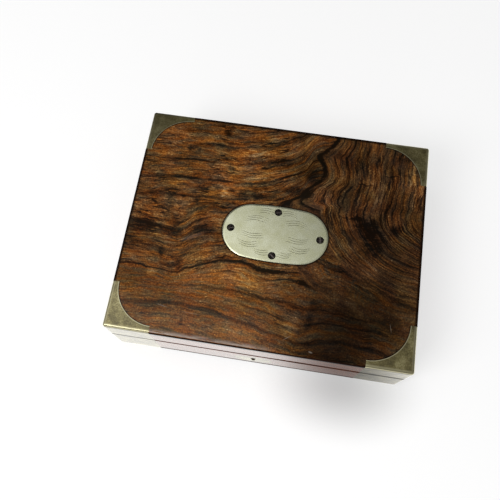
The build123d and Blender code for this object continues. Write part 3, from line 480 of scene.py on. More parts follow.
def figuredRosewoodTop():
    material, add, place = startMaterial("rosewoodFrenchPolished", top["surface"])
    bent = place
    for wave, reach in top["warps"]:
        warp = add("TexNoise", {"Vector": place, **wave}, out="Color")
        moved = add("VectorMath MULTIPLY_ADD", [warp, (reach, reach, 0), (-reach / 2, -reach / 2, 0)])
        bent = add("VectorMath ADD", [bent, moved])
    x, y, _ = add("SeparateXYZ", [bent], out=None)
    plainX, plainY, plainZ = add("SeparateXYZ", [place], out=None)
    leftTone, streakPlace, finest = streakedTone(add, x, y, plainY)
    rightTone, ringPlace, ring = ringedTone(add, place, x, y, plainX, plainY)
    zone = between(add, ring, *top["ringsStart"])
    tone = add("Mix", [zone, None, leftTone, rightTone])
    tone = markedTone(add, tone, place, bent, streakPlace, ring, plainY)
    colour = add("ValToRGB", [tone], ramp=top["tones"])
    hue = fibres(add, add("Mix VECTOR", {0: zone, 4: streakPlace, 5: ringPlace}), *top["hueFibres"])
    share = add("MapRange", [zone, 0.0, 1.0, *top["hueShare"]])
    hue = add("ValToRGB", [hue], ramp=top["hues"])
    colour = add("Mix RGBA", {0: share, 6: colour, 7: hue}, blend_type="SOFT_LIGHT")
    gold = add("TexNoise", {"Vector": streakPlace, **top["goldPatches"]})
    gold = add("ValToRGB", [gold], ramp=top["golds"])
    colour = add("Mix RGBA", {0: top["goldShare"], 6: colour, 7: gold}, blend_type="SOFT_LIGHT")

    # the right of the board is darker, partly darker wood and partly painted shade, with a painted greyish
    # veil of reflection that is strongest at the front, and painted light and dark patches cross it
    toneAndLightGain = add("Math ADD", [between(add, plainX, *top["shadeRight"]), 1.0])
    for centre, radii, change in top["toneAndLightPatches"]:
        glow = add("Math MULTIPLY_ADD", [spotMask(add, place, centre, radii, 1.0), change, 1.0])
        toneAndLightGain = add("Math MULTIPLY", [toneAndLightGain, glow])
    toneAndLightGain = add("Math MULTIPLY", [toneAndLightGain, top["overallGain"]])
    colour = add("VectorMath SCALE", {0: colour, "Scale": toneAndLightGain})
    # painted reflection: the right of the board greyed by a bluish veil, most of all at the front
    veiled = add("MapRange", [plainY, *top["veilFront"]])
    veiled = add("Math MULTIPLY", [veiled, between(add, plainX, *top["veilRight"])])
    paintedVeil = add("VectorMath MULTIPLY", [colour, top["paintedVeil"]])
    colour = add("Mix RGBA", {0: veiled, 6: colour, 7: paintedVeil})
    colour = add("Mix RGBA", {0: darkPolishAndBands(add, plainX, plainY), 6: colour, 7: top["gathered"]})

    # edges, painted highlight and scratches
    frontal = between(add, plainY, *top["frontStarts"])
    edge = add("Math SUBTRACT", [plainZ, add("MapRange", [frontal, 0.0, 1.0, top["frontDrop"], 0.0])])
    edge = between(add, edge, *top["edgeStarts"])
    # the edge's colour: red-brown wood darkened as a painted dark reflection
    edgeColourAndDarkReflection = add("VectorMath MULTIPLY", [place, [1 / size for size in top["edgeGrain"]]])
    edgeColourAndDarkReflection = add("TexNoise", {"Vector": edgeColourAndDarkReflection, **top["edgeNoise"]})
    edgeColourAndDarkReflection = add("ValToRGB", [edgeColourAndDarkReflection], ramp=top["edgeRamp"])
    colour = add("Mix RGBA", {0: edge, 6: colour, 7: edgeColourAndDarkReflection})
    # painted highlight: a pale, broken line along the front arris at the left
    paintedHighlight = add("Math MULTIPLY", [between(add, plainY, *top["highlightY"]), between(add, plainX, *top["highlightX"])])
    paintedHighlight = add("Math MULTIPLY", [paintedHighlight, between(add, plainZ, *top["highlightZ"])])
    broken = between(add, fibres(add, place, *top["highlightBreaks"]), *top["highlightFibres"])
    paintedHighlight = add("Math MULTIPLY", [paintedHighlight, broken])
    colour = add("Mix RGBA", {0: paintedHighlight, 6: colour, 7: top["arrisHighlight"]})
    scratched = 0.0
    for start, end, halfWidth, paleness in top["scratches"]:
        scratch = add("Math MULTIPLY", [lineMask(add, place, start, end, halfWidth), paleness])
        scratched = add("Math MAXIMUM", [scratched, scratch])
    colour = add("Mix RGBA", {0: scratched, 6: colour, 7: top["scratched"]})

    # the front arris is glossy as far as the middle, the others have lost their polish, and it is hazier along
    # the front at the left; the lower part of the front edge is still polished like the wall below
    glossy = add("Math MULTIPLY", [frontal, between(add, plainX, *top["glossyX"])])
    glossy = add("Math MULTIPLY", [between(add, plainZ, *top["glossyZ"]), glossy])
    hazy = add("Math MULTIPLY", [between(add, plainY, *top["dullerY"]), between(add, plainX, *top["dullerX"])])
    hazy = add("Math ADD", [hazy, top["coatWeight"]])
    low = add("Math MULTIPLY", [between(add, plainZ, *top["polishedBelow"]), frontal])
    low = add("MapRange", [low, 0.0, 1.0, *top["edgePolish"]])
    polish = add("Mix", [edge, None, add("Mix", [glossy, None, hazy, 1.0]), low])
    pores = add("Math MULTIPLY_ADD", [finest, top["poreShare"], tone])
    ripple = add("TexNoise", {"Vector": place, **top["ripple"]})
    return finishMaterial(material, {
        "Base Color": colour,
        "Coat Weight": polish,
        "Roughness": add("MapRange", [tone, 0.0, 1.0, *top["roughness"]]),
        "Normal": add("Bump", {"Height": pores, **top["poreRelief"]}),
        "Coat Normal": add("Bump", {"Height": ripple, **top["rippleRelief"]}),
    })


# straight-grained rosewood for the walls, polished like the top; grain runs along x or y
walls = {
    "tones": [(0.5, "#3e1a0d"), (0.75, "#73391c"), (1.0, "#8f5029")], "seamShade": "#120a06",
    "surface": {"Coat Roughness": 0.06, "Coat IOR": 1.5, "IOR": 1.5, "Specular IOR Level": 0.2},
    "roughness": (0.45, 0.95), "relief": {"Strength": 0.2, "Distance": 0.05 * mm},
    # length and width of the grain, and how it runs off the straight
    "broad": (40, 2.2), "broadNoise": {"Scale": 1.0, "Detail": 4.0, "Roughness": 0.6},
    "fine": (6, 0.5), "fineNoise": {"Scale": 1.0, "Detail": 2.0}, "fineShare": 0.5,
    "bend": {"Scale": 1 / 30, "Detail": 1.0}, "bendReach": 5,
    # painted shade at the seam between lid and base, wider to the right: the wood beside it darker and dull, a
    # black line in it; half width, where it is full, darkness
    "worn": (2.6, 1.6), "black": (1.1, 0.3, 0.5), "seamShadeDarkness": 0.4, "seamWiderRight": (0.0, 34.0, 1.2),
    "skin": (0.9, 0.4),  # how deep the painted seam shade goes
}


# 1 at the seam between lid and base, where its shade is painted, on the case's outside only, so that the rims
# stay clean wood
def seamMask(add, place, halfWidth, full, darkness=1.0):
    x, y, z = add("SeparateXYZ", [place], out=None)
    wider = between(add, x, *walls["seamWiderRight"])
    away = add("Math SUBTRACT", [gapTo(add, z, caseSizes["seam"]), wider])
    outer = [between(add, add("Math ABSOLUTE", [offset]), half - walls["skin"][0], half - walls["skin"][1])
             for offset, half in ((x, caseSizes["halfLength"]), (y, caseSizes["halfDepth"]))]
    return add("Math MULTIPLY", [between(add, away, halfWidth, full, darkness), add("Math MAXIMUM", outer)])


# a place drawn out along grain of the given length and width
def alongGrain(add, place, along, length, width):
    stretch = (1 / length, 1 / width, 1 / width) if along == "x" else (1 / width, 1 / length, 1 / width)
    return add("VectorMath MULTIPLY", [place, stretch])


def straightRosewood(name, along):
    material, add, place = startMaterial(name, walls["surface"])
    seamShade = seamMask(add, place, *walls["worn"])
    reach = walls["bendReach"]
    bend = add("TexNoise", {"Vector": place, **walls["bend"]}, out="Color")
    bent = add("VectorMath MULTIPLY_ADD", [bend, (reach, reach, reach), place])
    broad = alongGrain(add, bent, along, *walls["broad"])
    broad = add("TexNoise", {"Vector": broad, **walls["broadNoise"]})
    fine = alongGrain(add, bent, along, *walls["fine"])
    fine = add("TexNoise", {"Vector": fine, **walls["fineNoise"]})
    tone = add("Math MULTIPLY_ADD", [fine, walls["fineShare"], broad])
    colour = add("ValToRGB", [tone], ramp=walls["tones"])
    # painted shade at the seam: darker wood beside it and a black line in its gap
    black = add("Math MULTIPLY_ADD", [seamShade, walls["seamShadeDarkness"], seamMask(add, place, *walls["black"])])
    return finishMaterial(material, {
        "Base Color": add("Mix RGBA", {0: black, 6: colour, 7: walls["seamShade"]}),
        "Coat Weight": add("Math SUBTRACT", [1.0, seamShade]),
        "Roughness": add("MapRange", [seamShade, 0.0, 1.0, *walls["roughness"]]),
        "Normal": add("Bump", {"Height": tone, **walls["relief"]}),
    })


# tarnished nickel silver, rolled sheet rubbed paler on its arrises; tones are stained, tarnished and rubbed
nickel = {
    "tones": ("#5a5233", "#7e7449", "#a89f70"), "plateTones": ("#dbdcb2", "#e5e6c2", "#eef0d0"),
    "toneStops": (0.58, 0.75, 0.92),
    # the metal under a thin lacquer, which keeps a clear reflection where the sheet is seen along its face
    "surface": {"Metallic": 1.0, "IOR": 1.5, "Coat Weight": 0.85, "Coat Roughness": 0.07},
    "roughness": 0.36, "plateRoughness": 0.24, "mottled": (0.4, 1.1), "mottledRoughness": (0.05, -0.03),
    "clouds": {"Scale": 1 / 9, "Detail": 4.0, "Roughness": 0.6}, "cloudShare": 0.9,
    "spots": {"Scale": 1 / 1.1, "Detail": 3.0, "Roughness": 0.7}, "spotShare": 0.6,
    "scratches": (7.0, 0.14, 2.0, 0.5), "scratchTurn": 0.6, "scratchWear": (0.66, 0.8, 0.3),
    "scratchDepth": 0.6, "relief": {"Strength": 0.2, "Distance": 0.03 * mm},
    "bright": "#cbc49e", "arrisWear": (3.6, 1.4, 0.7), "arrisRagged": 1.2,
    "arcEdgeHighlight": (0.7, 0.25, 0.8),  # a highlight painted along the sheet's bevelled inner arc
    # browner at the back left
    "brown": "#4a4226", "brownPlace": (-112, 92), "brownReach": (60, 60), "brownShare": 0.7,
    # dark lines painted on the brackets: shade at the seam, and a dark reflection just under the arris
    "gathered": "#16130d", "seamLine": (1.9, 0.9, 0.85), "darkReflectionHeight": 58.0, "darkReflectionLine": (1.3, 0.5, 0.8),
    "lacquerLost": (0.0, 0.8),
    # the plate is buffed down towards its edge, so that its rim turns to the light
    "rimWidth": 1.2, "rimRelief": {"Strength": 1.0, "Distance": 0.3 * mm},
}


# how far the wear of a bracket has gone, with its painted highlight at the inner arc, and its painted shade at
# the seam and painted dark reflection under the arris
def bracketWear(add, place, spots):
    x, y, z = add("SeparateXYZ", [place], out=None)
    outX, outY = add("Math ABSOLUTE", [x]), add("Math ABSOLUTE", [y])
    gapX = add("Math SUBTRACT", [caseSizes["halfLength"], outX])
    gapY = add("Math SUBTRACT", [caseSizes["halfDepth"], outY])
    gapZ = add("Math MINIMUM", [add("Math SUBTRACT", [caseSizes["height"], z]), z])
    arrises = [armLength(add, a, b) for a, b in ((gapX, gapZ), (gapY, gapZ), (gapX, gapY))]
    arris = add("Math MINIMUM", [add("Math MINIMUM", arrises[:2]), arrises[2]])
    arris = add("Math MULTIPLY_ADD", [spots, nickel["arrisRagged"], arris])
    inX = add("Math SUBTRACT", [outX, caseSizes["arcCentreX"]])
    inY = add("Math SUBTRACT", [outY, caseSizes["arcCentreY"]])
    # painted highlight: a paler line along the bevelled inner arc
    starts, full, paleness = nickel["arcEdgeHighlight"]
    radius = caseSizes["arcRadius"]
    filed = between(add, armLength(add, inX, inY), radius + starts, radius + full, paleness)
    # painted dark reflection just under the arris, and painted shade at the seam
    paintedDarkReflection = between(add, gapTo(add, z, nickel["darkReflectionHeight"]), *nickel["darkReflectionLine"])
    dark = add("Math MAXIMUM", [seamMask(add, place, *nickel["seamLine"]), paintedDarkReflection])
    return between(add, arris, *nickel["arrisWear"]), filed, dark


def tarnishedNickelSilver(name, part, tones, roughness):
    material, add, place = startMaterial(name, nickel["surface"])
    sockets = {}
    cloud = add("TexNoise", {"Vector": place, **nickel["clouds"]})
    spots = add("TexNoise", {"Vector": place, **nickel["spots"]})
    spotted = add("Math MULTIPLY", [spots, nickel["spotShare"]])
    mottle = add("Math MULTIPLY_ADD", [cloud, nickel["cloudShare"], spotted])
    colour = add("ValToRGB", [mottle], ramp=list(zip(nickel["toneStops"], tones)))
    scratch = add("VectorRotate", {"Vector": place, "Angle": nickel["scratchTurn"]}, rotation_type="Z_AXIS")
    scratch = fibres(add, scratch, *nickel["scratches"])
    worn = between(add, scratch, *nickel["scratchWear"])
    if part == "bracket":
        rub, filed, dark = bracketWear(add, place, spots)
        worn = add("Math MAXIMUM", [add("Math MAXIMUM", [worn, rub]), filed])
        colour = add("Mix RGBA", {0: worn, 6: colour, 7: nickel["bright"]})
        browner = spotMask(add, place, nickel["brownPlace"], nickel["brownReach"], 1.0)
        browner = add("Math MULTIPLY", [browner, nickel["brownShare"]])
        colour = add("Mix RGBA", {0: browner, 6: colour, 7: nickel["brown"]})
        # painted shade at the seam and painted dark reflection under the arris
        colour = add("Mix RGBA", {0: dark, 6: colour, 7: nickel["gathered"]})
        lacquer = nickel["surface"]["Coat Weight"]
        sockets["Coat Weight"] = add("MapRange", [dark, *nickel["lacquerLost"], lacquer, 0.0])
    else:
        colour = add("Mix RGBA", {0: worn, 6: colour, 7: tones[2]})
    height = add("Math MULTIPLY_ADD", [scratch, nickel["scratchDepth"], spots])
    bump = add("Bump", {"Height": height, **nickel["relief"]})
    if part == "plate":
        x, y, _ = add("SeparateXYZ", [place], out=None)
        rim = between(add, plateDepth(add, x, y), 0.0, nickel["rimWidth"])
        bump = add("Bump", {"Height": rim, "Normal": bump, **nickel["rimRelief"]})
    sockets["Base Color"], sockets["Normal"] = colour, bump
    rougher = [roughness + change for change in nickel["mottledRoughness"]]
    sockets["Roughness"] = add("MapRange", [mottle, *nickel["mottled"], *rougher])
    return finishMaterial(material, sockets)


# the plate's screws: dark oil-blued heads, with a paler bright slot and a black line round the head, painted
# shade of the countersink's gap
screws = {
    "surface": {"Metallic": 1.0, "IOR": 1.5, "Roughness": 0.38},
    "face": "#4b4442", "slot": "#7d7470", "line": "#0f0c0b",
    "slotStarts": (0.05, 0.15), "gapShadeStarts": (2.0, 2.5),
    "spots": {"Scale": 1.2, "Detail": 3.0, "Roughness": 0.6},
    "relief": {"Strength": 0.3, "Distance": 0.04 * mm},
}


def slottedSteel(name):
    material, add, place = startMaterial(name, screws["surface"])
    spots = add("TexNoise", {"Vector": place, **screws["spots"]})
    colour = add("ValToRGB", [spots], ramp=[(0.35, screws["line"]), (0.7, screws["face"])])
    starts, full = (caseSizes["screwTop"] - depth for depth in screws["slotStarts"])
    sunk = between(add, add("SeparateXYZ", [place], out=2), starts, full)
    colour = add("Mix RGBA", {0: sunk, 6: colour, 7: screws["slot"]})
    nearest = caseSizes["halfLength"]
    for x, y in caseSizes["plateScrews"]:
        away = add("VectorMath SUBTRACT", [place, (x, y, 0)])
        away = add("VectorMath LENGTH", [add("VectorMath MULTIPLY", [away, (1, 1, 0)])])
        nearest = add("Math MINIMUM", [nearest, away])
    # painted shade of the gap round each head
    darkRing = between(add, nearest, *screws["gapShadeStarts"])
    return finishMaterial(material, {
        "Base Color": add("Mix RGBA", {0: darkRing, 6: colour, 7: screws["line"]}),
        "Normal": add("Bump", {"Height": spots, **screws["relief"]}),
    })


# the bare metal fittings: brass, blued or spring steel, with turned or filed marks drawn out lengthwise
fittings = {
    "surface": {"Metallic": 1.0, "IOR": 1.5}, "clouds": {"Scale": 0.4, "Detail": 3.0, "Roughness": 0.6},
    "filing": (0.3, 6.0, 6.0), "filingNoise": {"Scale": 1.0, "Detail": 2.0}, "filingShare": 0.5,
    "rougher": 0.12, "relief": {"Strength": 0.25, "Distance": 0.04 * mm},
}


def fittingMetal(name, pale, dark, roughness):
    material, add, place = startMaterial(name, fittings["surface"])
    cloud = add("TexNoise", {"Vector": place, **fittings["clouds"]})
    filed = add("VectorMath MULTIPLY", [place, fittings["filing"]])
    filed = add("TexNoise", {"Vector": filed, **fittings["filingNoise"]})
    tone = add("Math MULTIPLY_ADD", [filed, fittings["filingShare"], cloud])
    return finishMaterial(material, {
        "Base Color": add("ValToRGB", [tone], ramp=[(0.5, dark), (0.9, pale)]),
        "Roughness": add("MapRange", [tone, 0.5, 1.0, roughness + fittings["rougher"], roughness]),
        "Normal": add("Bump", {"Height": filed, **fittings["relief"]}),
    })


# waxed mahogany and stained pine: satin, with short dark pores along the grain
plainWoods = {
    "surface": {"IOR": 1.5, "Specular IOR Level": 0.4}, "rougher": 0.12,
    "broad": (40, 3), "broadNoise": {"Scale": 1.0, "Detail": 3.0, "Distortion": 0.4},
    "pores": (3, 0.35), "poreNoise": {"Scale": 1.0, "Detail": 1.0}, "poreDepth": (0.6, 0.75, 0.7),
    "relief": {"Strength": 0.3, "Distance": 0.06 * mm},
}


def plainWood(name, dark, pale, along, roughness):
    material, add, place = startMaterial(name, plainWoods["surface"])
    broad = alongGrain(add, place, along, *plainWoods["broad"])
    broad = add("TexNoise", {"Vector": broad, **plainWoods["broadNoise"]})
    pore = alongGrain(add, place, along, *plainWoods["pores"])
    pore = add("TexNoise", {"Vector": pore, **plainWoods["poreNoise"]})
    pore = between(add, pore, *plainWoods["poreDepth"])
    colour = add("ValToRGB", [broad], ramp=[(0.3, dark), (0.7, pale)])
    return finishMaterial(material, {
        "Base Color": add("Mix RGBA", {0: pore, 6: colour, 7: dark}, blend_type="MULTIPLY"),
        "Roughness": add("MapRange", [broad, 0.3, 0.7, roughness, roughness + plainWoods["rougher"]]),
        "Normal": add("Bump", {"Height": pore, **plainWoods["relief"]}, invert=True),
    })


# cotton velvet: short cut pile, so it is dark face on and pale at the rim, with brushed patches
velvet = {
    "surface": {"Roughness": 0.95, "Specular IOR Level": 0.1, "Sheen Weight": 0.7, "Sheen Roughness": 0.35},
    "deep": "#141a33", "faded": "#3d4a78", "brushed": {"Scale": 1 / 11, "Detail": 3.0, "Roughness": 0.55},
    "pile": {"Scale": 1 / 0.35, "Detail": 2.0, "Roughness": 0.7}, "pileShare": 0.7,
    "relief": {"Strength": 0.6, "Distance": 0.2 * mm},
}


def cottonVelvet():
    surface = {**velvet["surface"], "Sheen Tint": velvet["faded"]}
    material, add, place = startMaterial("velvetCottonBlue", surface)
    brushed = add("TexNoise", {"Vector": place, **velvet["brushed"]})
    pile = add("TexNoise", {"Vector": place, **velvet["pile"]})
    tone = add("Math MULTIPLY_ADD", [pile, velvet["pileShare"], brushed])
    return finishMaterial(material, {
        "Base Color": add("ValToRGB", [tone], ramp=[(0.5, velvet["deep"]), (1.0, velvet["faded"])]),
        "Normal": add("Bump", {"Height": pile, **velvet["relief"]}),
    })


# silk satin and ribbon: long floats along one thread direction, so the gloss is drawn out across them
silk = {
    "surface": {"Roughness": 0.42, "Specular IOR Level": 0.5, "Sheen Weight": 0.35, "Sheen Roughness": 0.3,
                "Anisotropic": 0.5},
    "slubLength": 12, "slubNoise": {"Scale": 1.0, "Detail": 2.0}, "slubShare": 0.6,
    # threads are about 0.1 mm apart, drawn four times as coarse so that they show
    "weave": {"Scale": 0.8, "Distortion": 1.5, "Detail": 1.0}, "weaveShare": 0.5,
    "worn": {"Scale": 1 / 25, "Detail": 2.0}, "relief": {"Strength": 0.35, "Distance": 0.08 * mm},
}


def silkSatin(name, deep, pale, thread, bands):
    material, add, place = startMaterial(name, {**silk["surface"], "Sheen Tint": pale})
    slub = add("VectorMath MULTIPLY", [place, (1 / silk["slubLength"], 1 / thread, 1 / thread)])
    slub = add("TexNoise", {"Vector": slub, **silk["slubNoise"]})
    weave = add("TexWave", {"Vector": place, **silk["weave"]}, out="Fac", bands_direction=bands)
    worn = add("TexNoise", {"Vector": place, **silk["worn"]})
    tone = add("Math MULTIPLY_ADD", [slub, silk["slubShare"], worn])
    height = add("Math MULTIPLY_ADD", [weave, silk["weaveShare"], slub])
    return finishMaterial(material, {
        "Base Color": add("ValToRGB", [tone], ramp=[(0.55, deep), (1.0, pale)]),
        "Normal": add("Bump", {"Height": height, **silk["relief"]}),
    })


# pasteboard: pale grey-brown, with fibres
card = {
    "surface": {"Roughness": 0.9, "Specular IOR Level": 0.2}, "tones": [(0.35, "#8d7f68"), (0.65, "#b3a68c")],
    "fibres": {"Scale": 1.5, "Detail": 4.0, "Roughness": 0.7},
    "relief": {"Strength": 0.3, "Distance": 0.1 * mm},
}


def pasteboard():
    material, add, place = startMaterial("greyPasteboard", card["surface"])
    fibre = add("TexNoise", {"Vector": place, **card["fibres"]})
    return finishMaterial(material, {
        "Base Color": add("ValToRGB", [fibre], ramp=card["tones"]),
        "Normal": add("Bump", {"Height": fibre, **card["relief"]}),
    })


padSilk = silkSatin("silkSatinBlue", "#2f3a63", "#66749f", 1.2, "Y")
ribbonSilk = silkSatin("silkRibbonGrosgrain", "#232c50", "#4f5c8c", 0.5, "X")
tones, roughness = nickel["tones"], nickel["roughness"]
# finishes by the record's slot; wood that runs across the case has a second one
finishes = {
    "nickel_silver": tarnishedNickelSilver("nickelSilverTarnished", "bracket", tones, roughness),
    "blued_steel": fittingMetal("steelBluedDark", "#837c7e", "#3e383b", 0.35),
    "spring_steel": fittingMetal("steelSpringTempered", "#8a8c94", "#4b4d55", 0.3),
    "brass_fittings": fittingMetal("brassFiledLacquered", "#d9b566", "#a07c38", 0.3),
    "rosewood": straightRosewood("rosewoodLengthwise", "x"),
    "tray_mahogany": plainWood("mahoganyWaxedLengthwise", "#4a2012", "#7d4527", "x", 0.42),
    "bottom_board": plainWood("pineStainedDark", "#241008", "#43230f", "x", 0.55),
    "velvet": cottonVelvet(),
    "silk": padSilk, "silk_ribbon": ribbonSilk, "card": pasteboard(),
}
crosswise = {
    "rosewood": straightRosewood("rosewoodCrosswise", "y"),
    "tray_mahogany": plainWood("mahoganyWaxedCrosswise", "#4a2012", "#7d4527", "y", 0.42),
}
ownFinish = {
    "lid_top_board": figuredRosewoodTop(),
    "nameplate": tarnishedNickelSilver("nickelSilverBurnished", "plate", nickel["plateTones"],
                                       nickel["plateRoughness"]),
    "nameplate_screws": slottedSteel("steelOilBlued"),
    "escutcheon": tarnishedNickelSilver("nickelSilverDull", "escutcheon", tones, roughness),
}
for name, node in nodes.items():
    slotName = node.material_slots[0].material.name
    finish = finishes[slotName]
    if "left" in name or "right" in name:
        finish = crosswise.get(slotName, finish)
    node.material_slots[0].material = ownFinish.get(name, finish)
print("materials are on the", len(nodes), "pieces")

# engraved flourishes on the plate: nested swooshes, mirrored right to left
flourish = {
    "lineWidth": 0.36, "lineCount": 3, "lineSpacing": 1.7, "stagger": 0.7, "stand": 0.012,
    # middle of each nest, its half length, its rise (down is negative)
    "nests": [((-9.2, 15.4), 6.0, 1.2), ((-15.6, 8.2), 8.2, 1.7), ((-17.6, -1.6), 8.2, -1.3),
              ((-20.0, -8.8), 7.6, -1.7), ((-9.2, -14.2), 5.6, -1.1)],
    "swoosh": ((-1.0, -0.6), (-0.1, 0.5), (1.0, -0.4)),  # shape of one line, in half lengths and rises
    "pointsPerLine": 28, "taper": 0.35, "flatness": 0.12,
}
swooshes = bpy.data.curves.new("plateFlourish", "CURVE")
swooshes.dimensions = "3D"
for (midX, midY), halfLength, rise in flourish["nests"]:
    spline = swooshes.splines.new("BEZIER")
    spline.bezier_points.add(2)
    for point, (along, up) in zip(spline.bezier_points, flourish["swoosh"]):
        point.co = (midX + along * halfLength, midY + up * rise, 0)
        point.handle_left_type = point.handle_right_type = "AUTO"
flourishCurve = bpy.data.objects.new("plateFlourishPaths", swooshes)
scene.collection.objects.link(flourishCurve)

tree = bpy.data.node_groups.new("nestedFlourish", "GeometryNodeTree")
add = partial(addNode, tree)
for name, kind, size in (("Line width", "Float", "lineWidth"), ("Line count", "Int", "lineCount"),
                         ("Line spacing", "Float", "lineSpacing"), ("Stagger", "Float", "stagger"),
                         ("Stand", "Float", "stand")):
    socket = tree.interface.new_socket(name, in_out="INPUT", socket_type="NodeSocket" + kind)
    socket.default_value = flourish[size]
tree.interface.new_socket("Lines", in_out="INPUT", socket_type="NodeSocketGeometry")
tree.interface.new_socket("Metal", in_out="INPUT", socket_type="NodeSocketMaterial")
tree.interface.new_socket("Mesh", in_out="OUTPUT", socket_type="NodeSocketGeometry")
tree.interface.move(tree.interface.items_tree["Lines"], 0)
given = add("NodeGroupInput", out=None)
copies = {"Geometry": given["Lines"], "Amount": given["Line count"]}
copies = add("GeometryNodeDuplicateElements", copies, out=None, domain="SPLINE")
turn = copies["Duplicate Index"]
# each copy lies one spacing further out and a little further along
fine = add("GeometryNodeResampleCurve", {0: copies[0], 2: flourish["pointsPerLine"]})
outwards = add("Math SIGN", [add("SeparateXYZ", [add("GeometryNodeInputPosition")], out=1)])
shiftY = add("Math MULTIPLY", [add("Math MULTIPLY", [turn, given["Line spacing"]]), outwards])
shiftX = add("Math MULTIPLY", [turn, given["Stagger"]])
nested = add("GeometryNodeSetPosition", {0: fine, 3: add("CombineXYZ", [shiftX, shiftY, 0.0])})
# the graver enters and leaves shallow, so each line is thin at its ends
taper = add("Math MULTIPLY", [add("GeometryNodeSplineParameter", out="Factor"), math.pi])
taper = add("Math POWER", [add("Math SINE", [taper]), flourish["taper"]])
taper = add("Math MULTIPLY", [taper, given["Line width"]])
profile = add("GeometryNodeCurvePrimitiveQuadrilateral", {0: 1.0, 1: 1.0})
lines = add("GeometryNodeCurveToMesh", {0: nested, 1: profile, 2: taper, 3: True})
lines = add("GeometryNodeTransform", {0: lines, 3: (1, 1, flourish["flatness"])})
flip = add("GeometryNodeFlipFaces", {0: add("GeometryNodeTransform", {0: lines, 3: (-1, 1, 1)})})
joined = add("GeometryNodeJoinGeometry", [lines])
tree.links.new(flip, joined.node.inputs[0])
lift = add("Math ADD", [given["Stand"], caseSizes["plateTop"]])
lift = add("CombineXYZ", [caseSizes["plateX"], caseSizes["plateY"], lift])
scaled = add("GeometryNodeTransform", {0: add("GeometryNodeTransform", {0: joined, 1: lift}), 3: (mm, mm, mm)})
real = add("GeometryNodeRealizeInstances", [scaled])
add("NodeGroupOutput", [add("GeometryNodeSetMaterial", {0: real, 2: given["Metal"]})], out=None)
modifier = flourishCurve.modifiers.new("nestedFlourish", "NODES")
modifier.node_group = tree
metalInput = tree.interface.items_tree["Metal"].identifier
modifier[metalInput] = fittingMetal("nickelSilverEngraved", "#a3a180", "#8b896b", 0.4)
scene.view_layers[0].update()
solved = flourishCurve.evaluated_get(bpy.context.evaluated_depsgraph_get())
flourishMesh = bpy.data.meshes.new_from_object(solved)
bpy.data.objects.remove(flourishCurve)
flourishPiece = bpy.data.objects.new("plate_flourish", flourishMesh)
scene.collection.objects.link(flourishPiece)
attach(flourishPiece, "lid")
print("engraving:", len(flourishMesh.polygons), "faces")

# silk pad in the lid: sewn to its board all round, filled, so that it crowns between its edges
pad = {
    "spacing": 2.4, "halfLength": 101.0, "halfDepth": 79.3, "cornerRadius": 4.0, "backZ": 52.75,
    # the edge rolls over from the rim to the starting depth
    "rimDepth": 0.9, "startDepth": 2.6, "rollWidth": 5.0,
    "cloth": {"quality": 6, "mass": 0.2, "tension_stiffness": 12, "bending_stiffness": 0.3,
              "use_pressure": True, "uniform_pressure_force": 4.0, "vertex_group_mass": "sewn"},
    "frames": 20, "mostRise": 2.4, "lowest": 47.45,
    # gathers where the silk is drawn over the board's edge, fading towards the middle, and slack between them
    "gatherPitch": 5.2, "gatherDepth": 0.32, "gatherReach": 13.0, "gatherFade": 1.5, "gatherStart": 2.5,
    "finerPitch": 0.62, "finerShare": 0.6, "sway": 2.2, "swaySize": 17, "slack": 0.35, "slackSize": (22, 15),
    "slackStart": 12,
}


# the back and the silk face, one above the other and joined round their rims
def padMesh():
    mesh = bmesh.new()
    halfX, halfY, radius = pad["halfLength"], pad["halfDepth"], pad["cornerRadius"]
    stepsX, stepsY = (round(2 * half / pad["spacing"]) for half in (halfX, halfY))
    grids = []
    for share in (0.0, 1.0):
        grid = [[None] * (stepsX + 1) for _ in range(stepsY + 1)]
        for j in range(stepsY + 1):
            for i in range(stepsX + 1):
                x, y = (2 * i / stepsX - 1) * halfX, (2 * j / stepsY - 1) * halfY
                # corners are rounded by drawing them in
                cornerX, cornerY = max(abs(x) - halfX + radius, 0), max(abs(y) - halfY + radius, 0)
                reach = math.hypot(cornerX, cornerY)
                if reach > radius:
                    pull = radius / reach
                    x = math.copysign(halfX - radius + cornerX * pull, x)
                    y = math.copysign(halfY - radius + cornerY * pull, y)
                roll = min(max(min(halfX - abs(x), halfY - abs(y)) / pad["rollWidth"], 0.0), 1.0)
                depth = (pad["startDepth"] - pad["rimDepth"]) * math.sqrt(1 - (1 - roll) ** 2)
                depth = share * (pad["rimDepth"] + depth)
                grid[j][i] = mesh.verts.new((x * mm, y * mm, (pad["backZ"] - depth) * mm))
        grids.append(grid)
    for grid, facing in zip(grids, (1, -1)):
        for j in range(stepsY):
            for i in range(stepsX):
                ring = [grid[j][i], grid[j][i + 1], grid[j + 1][i + 1], grid[j + 1][i]]
                mesh.faces.new(ring[::facing])
    rim = [(0, i) for i in range(stepsX)] + [(j, stepsX) for j in range(stepsY)]
    rim += [(stepsY, i) for i in range(stepsX, 0, -1)] + [(j, 0) for j in range(stepsY, 0, -1)]
    back, face = grids
    for (j, i), (nextJ, nextI) in zip(rim, rim[1:] + rim[:1]):
        mesh.faces.new([back[j][i], face[j][i], face[nextJ][nextI], back[nextJ][nextI]])
    bmesh.ops.recalc_face_normals(mesh, faces=mesh.faces)
    data = bpy.data.meshes.new("lidPadSilk")
    mesh.to_mesh(data)
    mesh.free()
    return data, (stepsX + 1) * (stepsY + 1)


